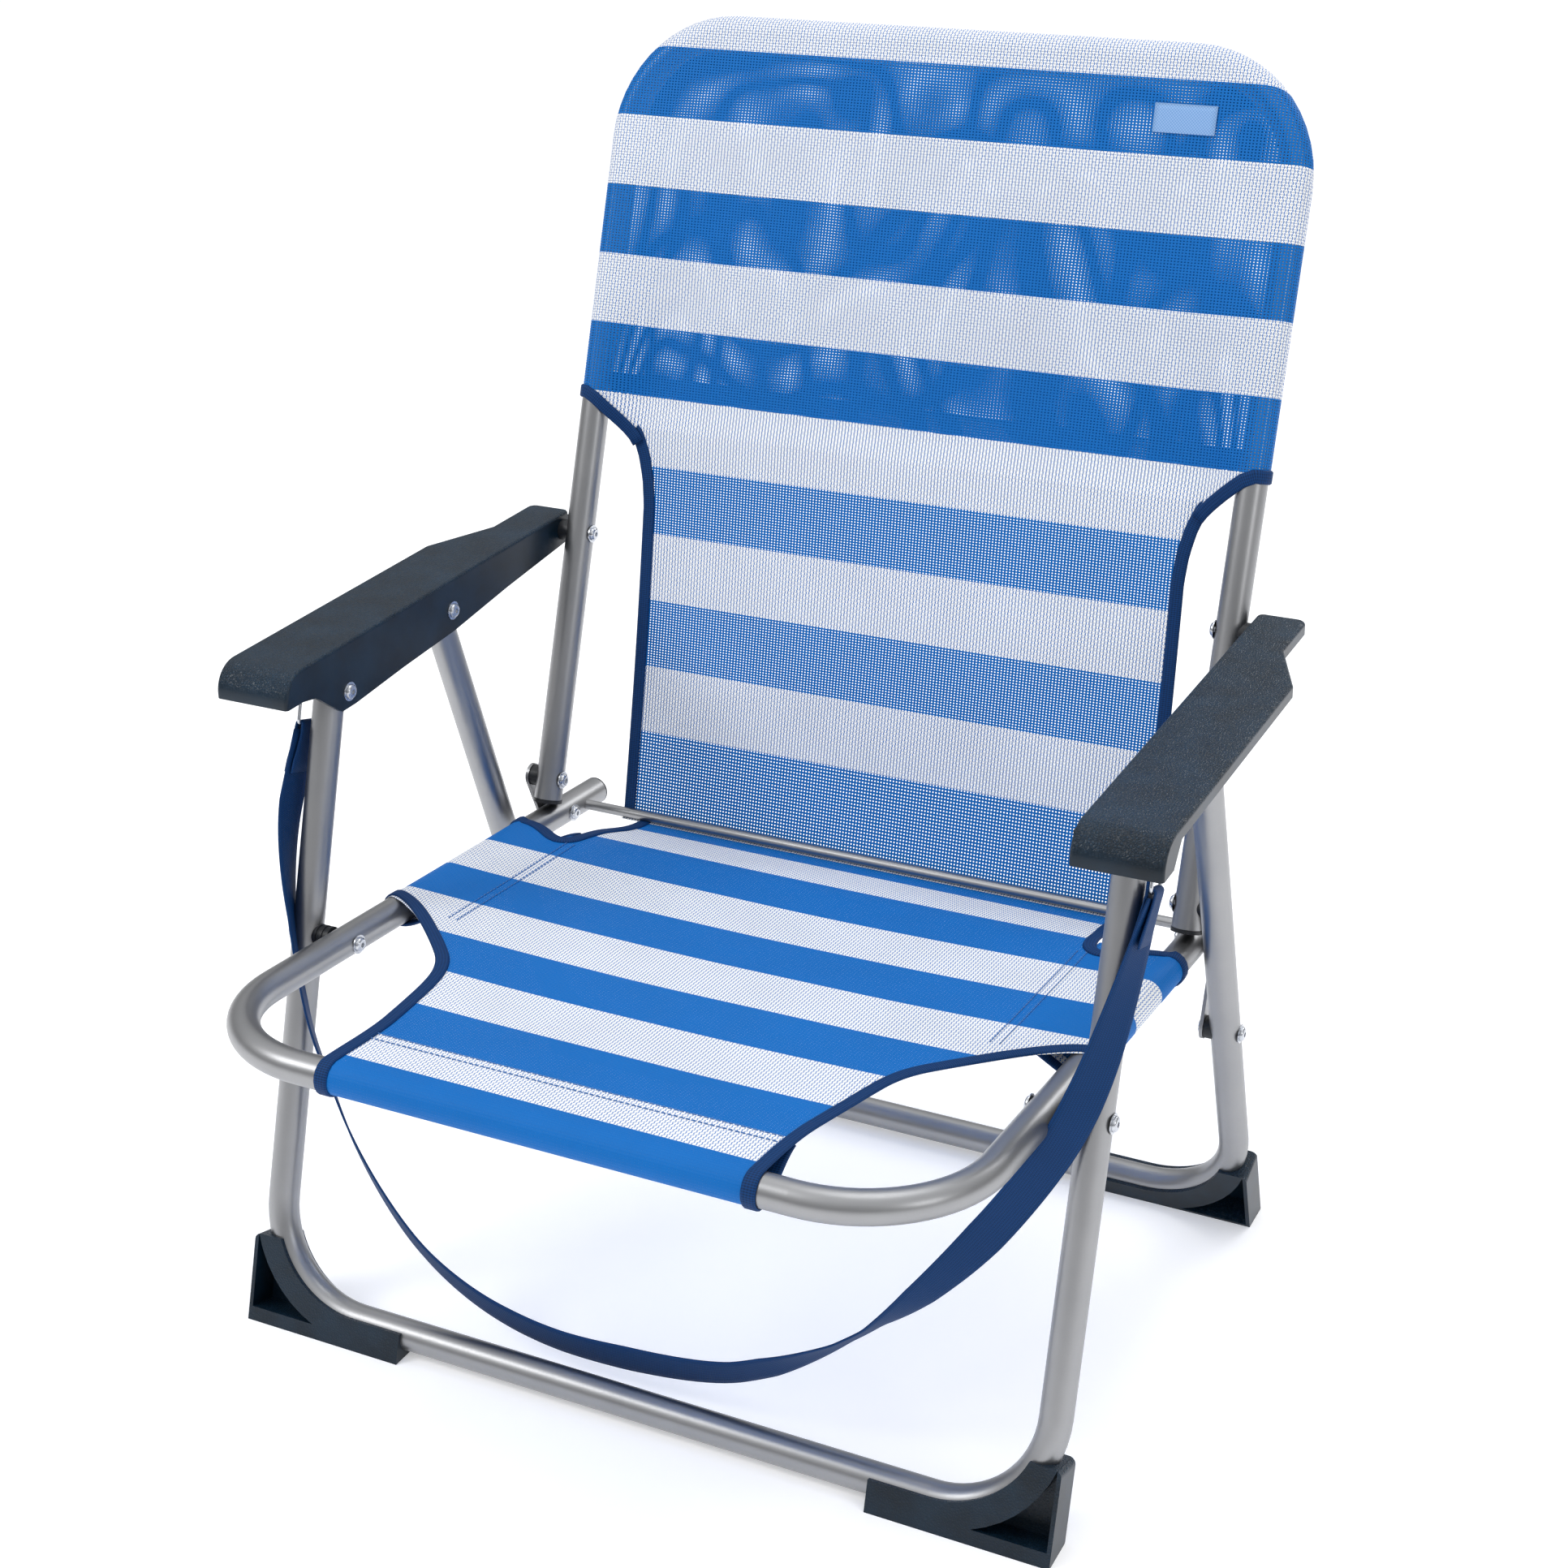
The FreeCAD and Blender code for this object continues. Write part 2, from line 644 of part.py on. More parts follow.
turned(
    "leg_pivot_bushes",
    ridged(RAIL_OUT + OPEN_GAP, LEG_X, 4),
    SEAT_LEG,
    FRONT_TILT,
    saddles=[LEG_X],
    bore=BOLT,
)
turned(
    "leg_link_bushes",
    [(LINK_END + OPEN_GAP, LEG_X, S["bush_radius"])],
    LEG_LINK,
    REAR_TILT,
    saddles=[LEG_X],
    bore=BOLT,
)
BUSH_END = LINK_X - 0.05
turned(
    "arm_rear_bushes",
    [(RAIL_X, ARM_X - 0.05, S["bush_radius"])],
    ARM_REAR,
    BACK_TILT,
    saddles=[RAIL_X],
    bore=BOLT,
)
turned(
    "back_link_bushes",
    [(RAIL_X, BUSH_END, S["bush_radius"])],
    BACK_LINK,
    BACK_TILT,
    saddles=[RAIL_X],
    bore=BOLT,
)
turned(
    "seat_link_bushes",
    [(RAIL_X, BUSH_END, S["bush_radius"])],
    SEAT_LINK,
    SEAT_TILT,
    saddles=[RAIL_X],
    bore=BOLT,
)

# ---------------------------------------------------------------- link plates


def link_plate(label):
    """Flat bent link: the knee turns on the seat rail, one arm up to the back post, one down."""
    body = new_body(label)
    half = S["link_width"] / 2
    for name, target in (("up", BACK_LINK), ("down", LEG_LINK)):
        swing = Placement(
            Vector(0, 0, LINK_X.value),
            Rotation(Vector(0, 0, 1), SEAT_LINK.angle_to(target)),
        )
        arm = sketch_on(body, "YZ_Plane", f"{label}_{name}", swing)
        arm.setExpression("AttachmentOffset.Base.z", LINK_X.text)
        add_slot(arm, SEAT_LINK.to(target), half)
        pad(body, arm, S["link_plate"], name=f"{label}_{name}_arm")
    holes = sketch_on(body, "YZ_Plane", f"{label}_holes")
    add_circle(holes, 0, 0, HOLE)
    for target in (BACK_LINK, LEG_LINK):
        add_circle(holes, target.y - SEAT_LINK.y, target.z - SEAT_LINK.z, HOLE)
    pocket(body, holes, name=f"{label}_drill")
    return place(body, SEAT_LINK)


link_right = link_plate("link_plate_right")
link_left = mirrored_copy("link_plate_left", link_right)
rivet_right = turned(
    "link_rivet_right",
    [(LINK_X - 2.2, LINK_X, NUT), (LINK_X, LINK_END, BOLT)],
    LEG_LINK,
    rounds=[(LINK_X - 2.2, 1.6)],
    pair=False,
)
rivet_left = mirrored_copy("link_rivet_left", rivet_right)

# ---------------------------------------------------------------- armrests


def armrest(label):
    """Hollow moulding, open below, with a deep inner wall that carries the three pivots."""
    body = new_body(label)
    top = S["arm_top"]
    rim = top - S["arm_rim"]
    wall = S["arm_wall"]
    outer = ARM_X + S["arm_width"]
    tail = ARM_X + S["arm_tail_width"]
    slope = S["arm_slope"]

    def level(spot):
        """A side-view spot in the armrest's own tilted frame."""
        dy = spot.y - ARM_FRONT.y
        dz = spot.z - ARM_FRONT.z
        return Spot(
            dy * cosine(slope) + dz * sine(slope), dz * cosine(slope) - dy * sine(slope)
        )

    mid, rear = level(ARM_MID), level(ARM_REAR)
    nose = Dim(-70)
    end = rear.y + 12
    step = mid.y + 56
    cap = sketch_on(
        body, "YZ_Plane", f"{label}_cap", Placement(Vector(0, 0, ARM_X.value), Rotation())
    )
    cap.setExpression("AttachmentOffset.Base.z", ARM_X.text)
    chin = top - 23.7
    add_outline(
        cap,
        [
            (end, top),
            (nose, top),
            (nose, chin),
            (nose + 19, chin),
            (nose + 32, rim),
            (end, rim),
        ],
    )
    pad(body, cap, S["arm_width"], name=f"{label}_top")
    inside = sketch_on(body, "XY_Plane", f"{label}_inside")
    add_outline(
        inside,
        [
            (ARM_X + wall, nose + wall),
            (outer - wall, nose + wall),
            (outer - wall, step - 1.5),
            (tail - wall, step + 55.5),
            (tail - wall, end - wall),
            (ARM_X + wall, end - wall),
        ],
    )
    pocket(body, inside, top - wall, both=False, back=True, name=f"{label}_hollow")
    fillet(
        body,
        lambda p: abs(p.y - nose.value - wall.value) < 1e-4
        and abs(p.z - top.value + wall.value) < 1e-4,
        S["arm_nose"] - wall,
        f"{label}_inner_nose",
    )
    fillet(
        body,
        lambda p: abs(p.y - nose.value) < 1e-4 and abs(p.z - top.value) < 1e-4,
        S["arm_nose"],
        f"{label}_nose",
    )
    plan = sketch_on(body, "XY_Plane", f"{label}_plan")
    add_outline(
        plan,
        [
            (outer, step),
            (tail, step + 57),
            (tail, end + 10),
            (outer + 10, end + 10),
            (outer + 10, step),
        ],
    )
    pocket(body, plan, name=f"{label}_step")
    corners = [(outer, step), (tail, step + 57), (tail, end)]
    fillet(
        body,
        lambda p: any(
            abs(p.x - x.value) < 1e-4 and abs(p.y - y.value) < 1e-4 for x, y in corners
        ),
        7,
        f"{label}_corners",
    )
    fillet(
        body,
        lambda p: abs(p.x - ARM_X.value) < 1e-4 and abs(p.y - end.value) < 1e-4,
        5,
        f"{label}_inner_corner",
    )
    fillet(
        body,
        lambda p: p.z > top.value - 1e-4 and p.y > (nose + S["arm_nose"]).value + 1e-3,
        2.6,
        f"{label}_edge",
    )
    blade = sketch_on(
        body, "YZ_Plane", f"{label}_blade", Placement(Vector(0, 0, ARM_X.value), Rotation())
    )
    blade.setExpression("AttachmentOffset.Base.z", ARM_X.text)
    add_outline(
        blade,
        [
            (nose + 8, chin + 0.1),
            (nose + 18, chin),
            (nose + 33, chin - 3),
            (nose + 46, -1),
            (-10, -11.6),
            (6, -11.6),
            (mid.y * 0.5, -7.2),
            (mid.y, mid.z - 16.3),
            (mid.y + 75, mid.z - 8),
            (rear.y - 4, rear.z - 12),
            (end - 1.2, rear.z - 10.5),
            (end - 1.2, top - 4),
            (nose + 8, top - 4),
        ],
    )
    pad(body, blade, wall, name=f"{label}_wall")
    eyes = sketch_on(body, "YZ_Plane", f"{label}_eyes")
    add_circle(eyes, 0, 0, HOLE)
    add_circle(eyes, mid.y, mid.z, HOLE)
    add_circle(eyes, rear.y, rear.z, HOLE)
    pocket(body, eyes, 2 * (ARM_X + wall + 1), name=f"{label}_pivots")
    return place(body, ARM_FRONT, S["arm_slope"].value)


arm_right = armrest("armrest_right")
arm_left = mirrored_copy("armrest_left", arm_right)

# ---------------------------------------------------------------- feet


def foot(label, top, bar, turn):
    """Corner shoe under the bend of a leg frame: an open channel for the tube and a flat sole."""
    body = new_body(label)
    reach = top.to(bar)
    bend = S["leg_bend"]
    half_turn = math.radians(turn)
    inner = LEG_X - S["foot_bar"]
    outer = LEG_OUT + 1.5
    lip = Dim(4)
    low = -(TUBE + 12)
    rise = S["foot_rise"]
    near = bend - lip
    corner_x = LEG_X - bend
    drop = bend - rise
    meet = corner_x + root(near * near - drop * drop)
    shell = sketch_on(body, "XZ_Plane", f"{label}_shell")
    points = [
        (inner, low - reach),
        (outer, low - reach),
        (outer, rise - reach),
        (meet, rise - reach),
        (corner_x, lip - reach),
        (inner, lip - reach),
    ]
    spots = [Vector(u.value, v.value, 0) for u, v in points]
    circle = Part.Circle(
        Vector(corner_x.value, (bend - reach).value, 0), Vector(0, 0, 1), near.value
    )
    start = circle.parameter(spots[4])
    stop = circle.parameter(spots[3])
    order = [
        Part.LineSegment(spots[0], spots[1]),
        Part.LineSegment(spots[1], spots[2]),
        Part.LineSegment(spots[2], spots[3]),
        Part.ArcOfCircle(circle, start, stop),
        Part.LineSegment(spots[4], spots[5]),
        Part.LineSegment(spots[5], spots[0]),
    ]
    a, b, c, d, e, f = (shell.addGeometry(g, False) for g in order)
    for first, p, second, q in (
        (a, 2, b, 1),
        (b, 2, c, 1),
        (c, 2, d, 2),
        (d, 1, e, 1),
        (e, 2, f, 1),
        (f, 2, a, 1),
    ):
        shell.addConstraint(Sketcher.Constraint("Coincident", first, p, second, q))
    pin_point(shell, a, 1, *points[0])
    pin_point(shell, b, 1, *points[1])
    pin_point(shell, c, 1, *points[2])
    pin_point(shell, d, 3, corner_x, bend - reach)
    bind(shell, "Radius", d, near)
    for shape, kind in ((c, "Horizontal"), (e, "Horizontal"), (f, "Vertical")):
        shell.addConstraint(Sketcher.Constraint(kind, shape))
    bind(shell, "DistanceX", -1, 1, e, 1, corner_x)
    pad(body, shell, S["foot_depth"], both=True, name=f"{label}_block")
    fillet(
        body,
        lambda p: abs(p.x - outer.value) < 1e-4 and abs(p.z - (rise - reach).value) < 1e-4,
        5,
        f"{label}_shoulder",
    )
    # Flat sole: everything under the floor is cut away.
    half = S["foot_depth"].value / 2 + 3
    sole = sketch_on(body, "YZ_Plane", f"{label}_sole")
    lean, upright = math.sin(half_turn), math.cos(half_turn)
    floor = [
        -(BAR_Z + side * half * lean) / upright - reach for side in (-1, 1)
    ]
    add_outline(
        sole,
        [(-half, floor[0]), (half, floor[1]), (half, low - reach - 20), (-half, low - reach - 20)],
    )
    pocket(body, sole, name=f"{label}_floor")
    # Triangular window in the outer corner, closed at the back by a thin web.
    window = sketch_on(
        body,
        "XZ_Plane",
        f"{label}_window",
        Placement(Vector(0, 0, S["foot_depth"].value / 2), Rotation()),
    )
    window.setExpression("AttachmentOffset.Base.z", (S["foot_depth"] / 2).text)
    ring = bend + TUBE + 3
    steps = 7
    edge = outer - 3
    base = -(BAR_Z - 6)
    reach_x = edge - corner_x
    drop_y = bend - base
    first = math.asin(min(1.0, reach_x.value / ring.value))
    last = math.acos(min(1.0, drop_y.value / ring.value))
    curve = [(edge, base - reach)]
    for k in range(steps + 1):
        angle = first + (last - first) * k / steps
        curve.append(
            (
                corner_x + ring * math.sin(angle),
                bend - reach - ring * math.cos(angle),
            )
        )
    add_outline(window, curve)
    pocket(body, window, S["foot_depth"] - 4, both=False, name=f"{label}_recess")
    # Channel for the bent tube.
    groove = sketch_on(body, "XZ_Plane", f"{label}_groove")
    start_x = inner - 10
    line_a = Part.LineSegment(
        Vector(start_x.value, -reach.value, 0), Vector(corner_x.value, -reach.value, 0)
    )
    bow = Part.ArcOfCircle(
        Part.Circle(
            Vector(corner_x.value, (bend - reach).value, 0), Vector(0, 0, 1), bend.value
        ),
        1.5 * math.pi,
        2 * math.pi,
    )
    line_b = Part.LineSegment(
        Vector(LEG_X.value, (bend - reach).value, 0),
        Vector(LEG_X.value, (bend - reach).value + 30, 0),
    )
    a, b, c = (groove.addGeometry(g, False) for g in (line_a, bow, line_b))
    groove.addConstraint(Sketcher.Constraint("Tangent", a, 2, b, 1))
    groove.addConstraint(Sketcher.Constraint("Tangent", b, 2, c, 1))
    groove.addConstraint(Sketcher.Constraint("Horizontal", a))
    bind(groove, "DistanceX", -1, 1, a, 1, start_x)
    bind(groove, "DistanceY", -1, 1, a, 1, -reach)
    bind(groove, "DistanceX", -1, 1, b, 3, corner_x)
    bind(groove, "Radius", b, bend)
    bind(groove, "DistanceY", c, 1, c, 2, Dim(30))
    mouth = sketch_on(
        body, "YZ_Plane", f"{label}_mouth", Placement(Vector(0, 0, start_x.value), Rotation())
    )
    mouth.setExpression("AttachmentOffset.Base.z", start_x.text)
    add_circle(mouth, 0, -reach, TUBE + 0.05)
    doc.recompute()
    before = body.Shape.Volume
    channel = body.newObject("PartDesign::SubtractivePipe", f"{label}_channel")
    channel.Profile = mouth
    channel.Spine = (groove, [])
    doc.recompute()
    if not body.Shape.Volume < before - 1:
        raise RuntimeError(f"{label}: the tube channel removes nothing")
    return place(body, top, turn)


foot_front_right = foot("foot_front_right", FRONT_TOP, FRONT_BAR, FRONT_TILT)
foot_front_left = mirrored_copy("foot_front_left", foot_front_right)
foot_rear_right = foot("foot_rear_right", REAR_TOP, REAR_BAR, REAR_TILT)
foot_rear_left = mirrored_copy("foot_rear_left", foot_rear_right)

# ---------------------------------------------------------------- wire loops of the strap


def wire_loop(label):
    """Closed rounded loop of wire that hangs on the front armrest screw, outside the leg."""
    body = new_body(label)
    wire = S["wire"] / 2
    half, deep, r = Dim(9), Dim(33), Dim(4)
    crown = S["bolt_radius"] + wire + 0.1
    ring = sketch_on(body, "YZ_Plane", f"{label}_ring", Placement(Vector(0, 0, LOOP_X.value), Rotation()))
    ring.setExpression("AttachmentOffset.Base.z", LOOP_X.text)
    low = crown - deep
    w, t, b, c = half.value, crown.value, low.value, r.value
    up = Vector(0, 0, 1)
    quarter = math.pi / 2
    shapes = [
        Part.LineSegment(Vector(-w, (t + b) / 2, 0), Vector(-w, b + c, 0)),
        Part.ArcOfCircle(Part.Circle(Vector(c - w, b + c, 0), up, c), 2 * quarter, 3 * quarter),
        Part.LineSegment(Vector(c - w, b, 0), Vector(w - c, b, 0)),
        Part.ArcOfCircle(Part.Circle(Vector(w - c, b + c, 0), up, c), 3 * quarter, 4 * quarter),
        Part.LineSegment(Vector(w, b + c, 0), Vector(w, t - c, 0)),
        Part.ArcOfCircle(Part.Circle(Vector(w - c, t - c, 0), up, c), 0, quarter),
        Part.LineSegment(Vector(w - c, t, 0), Vector(c - w, t, 0)),
        Part.ArcOfCircle(Part.Circle(Vector(c - w, t - c, 0), up, c), quarter, 2 * quarter),
        Part.LineSegment(Vector(-w, t - c, 0), Vector(-w, (t + b) / 2, 0)),
    ]
    ids = [ring.addGeometry(g, False) for g in shapes]
    for k in range(len(ids)):
        first, second = ids[k], ids[(k + 1) % len(ids)]
        kind = "Coincident" if k == len(ids) - 1 else "Tangent"
        ring.addConstraint(Sketcher.Constraint(kind, first, 2, second, 1))
    ring.addConstraint(Sketcher.Constraint("Vertical", ids[0]))
    ring.addConstraint(Sketcher.Constraint("Vertical", ids[8]))
    for other in (3, 5, 7):
        ring.addConstraint(Sketcher.Constraint("Equal", ids[1], ids[other]))
    bind(ring, "Radius", ids[1], r)
    bind(ring, "DistanceX", -1, 1, ids[0], 1, -half)
    bind(ring, "DistanceY", -1, 1, ids[0], 1, (crown + low) / 2)
    bind(ring, "DistanceY", -1, 1, ids[2], 1, low)
    bind(ring, "DistanceX", -1, 1, ids[4], 1, half)
    bind(ring, "DistanceY", -1, 1, ids[6], 1, crown)
    section = sketch_on(
        body,
        "XY_Plane",
        f"{label}_section",
        Placement(Vector(0, 0, (t + b) / 2), Rotation()),
    )
    section.setExpression("AttachmentOffset.Base.z", ((crown + low) / 2).text)
    add_circle(section, LOOP_X, -half, wire)
    doc.recompute()
    pipe = body.newObject("PartDesign::AdditivePipe", f"{label}_wire")
    pipe.Profile = section
    pipe.Spine = (ring, [])
    doc.recompute()
    return place(body, ARM_FRONT, FRONT_TILT)


loop_right = wire_loop("wire_loop_right")
loop_left = mirrored_copy("wire_loop_left", loop_right)

# ---------------------------------------------------------------- soft parts


def soft(label, shape):
    """A fabric piece as a plain closed solid of the right size and place."""
    feature = doc.addObject("Part::Feature", label)
    feature.Label = label
    feature.Shape = shape
    return feature


def prism(points, start, height):
    """Solid between two levels of local Z over a closed outline."""
    corners = [Vector(x, y, start) for x, y in points]
    face = Part.Face(Part.makePolygon(corners + corners[:1]))
    return face.extrude(Vector(0, 0, height))


def both_sides(points):
    """An outline given for X above zero, from front to back, closed round the middle plane."""
    return points + [(-x, y) for x, y in reversed(points)]


def seat_cloth():
    """Seat fabric: sleeves over the front bar and the rails, cut out at the four corners."""
    rail = RAIL_X.value
    edge = RAIL_OUT.value + S["cloth"].value
    rod_line = S["seat_rod"].value
    front = -TUBE.value
    outline = both_sides(
        [
            (rail - 112, front),
            (rail - 111, 45),
            (rail - 106, 92),
            (rail - 97, 140),
            (rail - 79, 174),
            (rail - 48, 204),
            (rail - 19, 226),
            (edge, 234),
            (edge, rod_line - 78),
            (rail - 13, rod_line - 78),
            (rail - 27, rod_line - 87),
            (rail - 45, rod_line - 99),
            (rail - 54, rod_line - 87),
            (rail - 57, rod_line - 50),
            (rail - 60, rod_line - 10),
        ]
    )
    cloth = soft("seat_fabric", prism(outline, TUBE.value + 0.1, S["cloth"].value))
    cloth.Placement = Placement(
        Vector(0, SEAT_BAR.y.value, SEAT_BAR.z.value),
        Rotation(Vector(1, 0, 0), -S["seat_fall"].value),
    )
    return cloth


def rounded_top(half, low, high, bend, thick):
    """Pillow-edged slab seen from the front: square below, round upper corners and round edges.

    thick is half its thickness and the radius of its side and top edges.
    """
    slant = bend * (1 - math.sqrt(0.5))
    wire = Part.Wire(
        [
            Part.LineSegment(Vector(-half, -thick, low), Vector(half, -thick, low)).toShape(),
            Part.LineSegment(
                Vector(half, -thick, low), Vector(half, -thick, high - bend)
            ).toShape(),
            Part.Arc(
                Vector(half, -thick, high - bend),
                Vector(half - slant, -thick, high - slant),
                Vector(half - bend, -thick, high),
            ).toShape(),
            Part.LineSegment(
                Vector(half - bend, -thick, high), Vector(bend - half, -thick, high)
            ).toShape(),
            Part.Arc(
                Vector(bend - half, -thick, high),
                Vector(slant - half, -thick, high - slant),
                Vector(-half, -thick, high - bend),
            ).toShape(),
            Part.LineSegment(
                Vector(-half, -thick, high - bend), Vector(-half, -thick, low)
            ).toShape(),
        ]
    )
    slab = Part.Face(wire).extrude(Vector(0, 2 * thick, 0))
    edges = []
    for edge in slab.Edges:
        box = edge.BoundBox
        flat = box.YLength < 1e-6
        if flat and (box.ZLength > 1e-6 or box.ZMin > low + 1e-6):
            edges.append(edge)
    return slab.makeFillet(thick - 0.4, edges)


def back_sock():
    """Double fabric drawn over the top of the backrest frame: hollow and open below."""
    play = TUBE.value + 0.05
    out = play + S["cloth"].value
    axis = S["back_above"].value
    bend = S["back_bend"].value
    low = axis + out - S["sock_height"].value
    half = RAIL_X.value
    outer = rounded_top(half + out, low, axis + out, bend + out, out)
    inner = rounded_top(half + play, low - 5, axis + play, bend + play, play)
    sock = soft("back_fabric", outer.cut(inner))
    sock.Placement = Placement(
        Vector(0, ARM_REAR.y.value, ARM_REAR.z.value),
        Rotation(Vector(1, 0, 0), -S["recline"].value),
    )
    return low


SOCK_LOW = back_sock()


def back_panel():
    """Single panel from the lower edge of the sock down behind the cross rod."""
    cloth = S["cloth"].value
    lean = math.radians(S["recline"].value)
    behind = TUBE.value - 3
    top = (
        ARM_REAR.y.value + SOCK_LOW * math.sin(lean) + behind * math.cos(lean),
        ARM_REAR.z.value + SOCK_LOW * math.cos(lean) - behind * math.sin(lean) - 0.5,
    )
    bottom = (rod_spot.y.value + S["rod_radius"].value + 1, rod_spot.z.value)
    run = math.hypot(top[0] - bottom[0], top[1] - bottom[1])
    half = S["panel_half"].value
    panel = soft(
        "back_panel", Part.makeBox(2 * half, cloth, run, Vector(-half, 0, 0))
    )
    turn = math.degrees(math.atan2(top[0] - bottom[0], top[1] - bottom[1]))
    panel.Placement = Placement(Vector(0, *bottom), Rotation(Vector(1, 0, 0), -turn))


seat_cloth()
back_panel()

# Carrying strap: axis points in millimetres from the loop on the right, under the seat, to the
# loop on the left. The upper points are set from the frame so that the strap follows it.
STRAP_DROP = [
    (0.0, -10.0, -31.0),
    (-4.0, -25.0, -64.0),
    (-9.0, -43.0, -99.0),
    (-16.0, -58.0, -134.0),
    (-28.0, -72.0, -171.0),
    (-49.0, -81.0, -210.0),
    (-75.0, -87.0, -250.0),
    (-105.0, -92.0, -289.0),
    (-138.0, -95.0, -326.0),
    (-177.0, -98.0, -358.0),
    (-220.0, -101.0, -385.0),
    (-266.0, -103.0, -404.0),
]
STRAP_REST = [
    (270.0, -104.0, -413.0),
    (222.0, -104.0, -410.0),
    (176.0, -103.0, -398.0),
    (134.0, -101.0, -374.0),
    (102.0, -98.0, -340.0),
    (75.0, -94.0, -300.0),
    (57.0, -89.0, -262.0),
    (39.0, -83.0, -227.0),
    (25.0, -72.0, -190.0),
    (13.0, -60.0, -156.0),
    (3.0, -47.0, -122.0),
    (-2.0, -34.0, -88.0),
    (-1.5, -21.0, -59.0),
    (0.0, -10.0, -31.0),
]


def strap_route():
    side = LOOP_X.value
    y, z = ARM_FRONT.y.value, ARM_FRONT.z.value
    right = [Vector(side + a, y + b, z + c) for a, b, c in STRAP_DROP]
    left = [Vector(a - side, y + b, z + c) for a, b, c in STRAP_REST]
    return right + left


def rounded_route(points):
    """Straight runs joined by tangent arcs as large as the runs allow; returns wire and radii."""
    edges = []
    radii = []
    here = points[0]
    for before, point, after in zip(points, points[1:], points[2:]):
        back, ahead = before - point, after - point
        turn = math.pi - back.getAngle(ahead)
        radius = 0.45 * min(back.Length, ahead.Length) / math.tan(turn / 2)
        cut = radius * math.tan(turn / 2)
        start = point + back.normalize() * cut
        end = point + ahead.normalize() * cut
        middle = start + end - point * 2
        centre = point + middle.normalize() * math.hypot(radius, cut)
        crown = centre + (point - centre).normalize() * radius
        edges.append(Part.LineSegment(here, start).toShape())
        edges.append(Part.Arc(start, crown, end).toShape())
        radii.append(radius)
        here = end
    edges.append(Part.LineSegment(here, points[-1]).toShape())
    return Part.Wire(edges), radii


def carry_strap():
    route, radii = rounded_route(strap_route())
    radius = S["strap_tube"].value / 2
    way = (strap_route()[1] - strap_route()[0]).normalize()
    section = Part.Wire(Part.makeCircle(radius, strap_route()[0], way))
    tube = route.makePipeShell([section], True, True)
    soft("carry_strap", tube)
    expected = math.pi * radius**2 * route.Length
    print("strap length", round(route.Length, 1), "volume / section x length",
          round(tube.Volume / expected, 4))
    print("strap radii", [round(r) for r in radii])


carry_strap()

# ---------------------------------------------------------------- check and export

NODES = [
    "front_leg_frame",
    "rear_leg_frame",
    "seat_frame",
    "backrest_frame",
    "seat_end_caps",
    "backrest_plugs",
    "cross_rod",
    "arm_front_screws",
    "arm_mid_screws",
    "arm_rear_screws",
    "seat_pivot_screws",
    "seat_link_screws",
    "back_link_screws",
    "leg_pivot_screws",
    "leg_link_screws",
    "leg_pivot_bushes",
    "leg_link_bushes",
    "arm_rear_bushes",
    "back_link_bushes",
    "seat_link_bushes",
    "link_plate_right",
    "link_plate_left",
    "link_rivet_right",
    "link_rivet_left",
    "armrest_right",
    "armrest_left",
    "foot_front_right",
    "foot_front_left",
    "foot_rear_right",
    "foot_rear_left",
    "wire_loop_right",
    "wire_loop_left",
    "seat_fabric",
    "back_fabric",
    "back_panel",
    "carry_strap",
]

doc.recompute()
for thing in doc.Objects:
    if "Invalid" in thing.State or "Error" in thing.State:
        raise RuntimeError(f"{thing.Label} failed: {thing.State}")
os.makedirs("parts", exist_ok=True)
pieces = {thing.Label: thing for thing in doc.Objects}
for name in NODES:
    shape = pieces[name].Shape
    if shape.isNull() or not shape.isValid() or not shape.Solids:
        raise RuntimeError(f"{name} has no valid solid")
    shape.exportStep(f"parts/{name}.step")
    box = shape.BoundBox
    print(f"{name}: {len(shape.Solids)} solids, {shape.Volume:.0f} mm3, "
          f"x {box.XMin:.1f} {box.XMax:.1f} y {box.YMin:.1f} {box.YMax:.1f} "
          f"z {box.ZMin:.1f} {box.ZMax:.1f}")
for label, spot in (
    ("arm_front", ARM_FRONT),
    ("arm_mid", ARM_MID),
    ("arm_rear", ARM_REAR),
    ("back_link", BACK_LINK),
    ("seat_link", SEAT_LINK),
    ("leg_link", LEG_LINK),
    ("seat_leg", SEAT_LEG),
    ("front_bar", FRONT_BAR),
    ("rear_bar", REAR_BAR),
    ("seat_bar", SEAT_BAR),
):
    print("pivot", label, round(spot.y.value, 3), round(spot.z.value, 3))
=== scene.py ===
"""Looks of a folding beach chair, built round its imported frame."""

import json
import logging
import math
from dataclasses import dataclass, field
from enum import Enum
from typing import Callable, Sequence

import bmesh
import bpy
from mathutils import Matrix, Vector, noise


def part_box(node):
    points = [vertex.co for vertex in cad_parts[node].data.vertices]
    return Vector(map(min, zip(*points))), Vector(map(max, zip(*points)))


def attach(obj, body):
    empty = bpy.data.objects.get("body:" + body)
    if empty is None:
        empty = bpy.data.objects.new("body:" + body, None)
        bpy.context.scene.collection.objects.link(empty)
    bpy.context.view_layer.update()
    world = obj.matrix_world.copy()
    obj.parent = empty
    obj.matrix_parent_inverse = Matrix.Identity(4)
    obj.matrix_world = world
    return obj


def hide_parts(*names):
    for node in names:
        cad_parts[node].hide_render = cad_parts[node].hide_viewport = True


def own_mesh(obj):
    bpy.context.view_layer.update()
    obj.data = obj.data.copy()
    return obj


LOG = logging.getLogger("beach_chair")

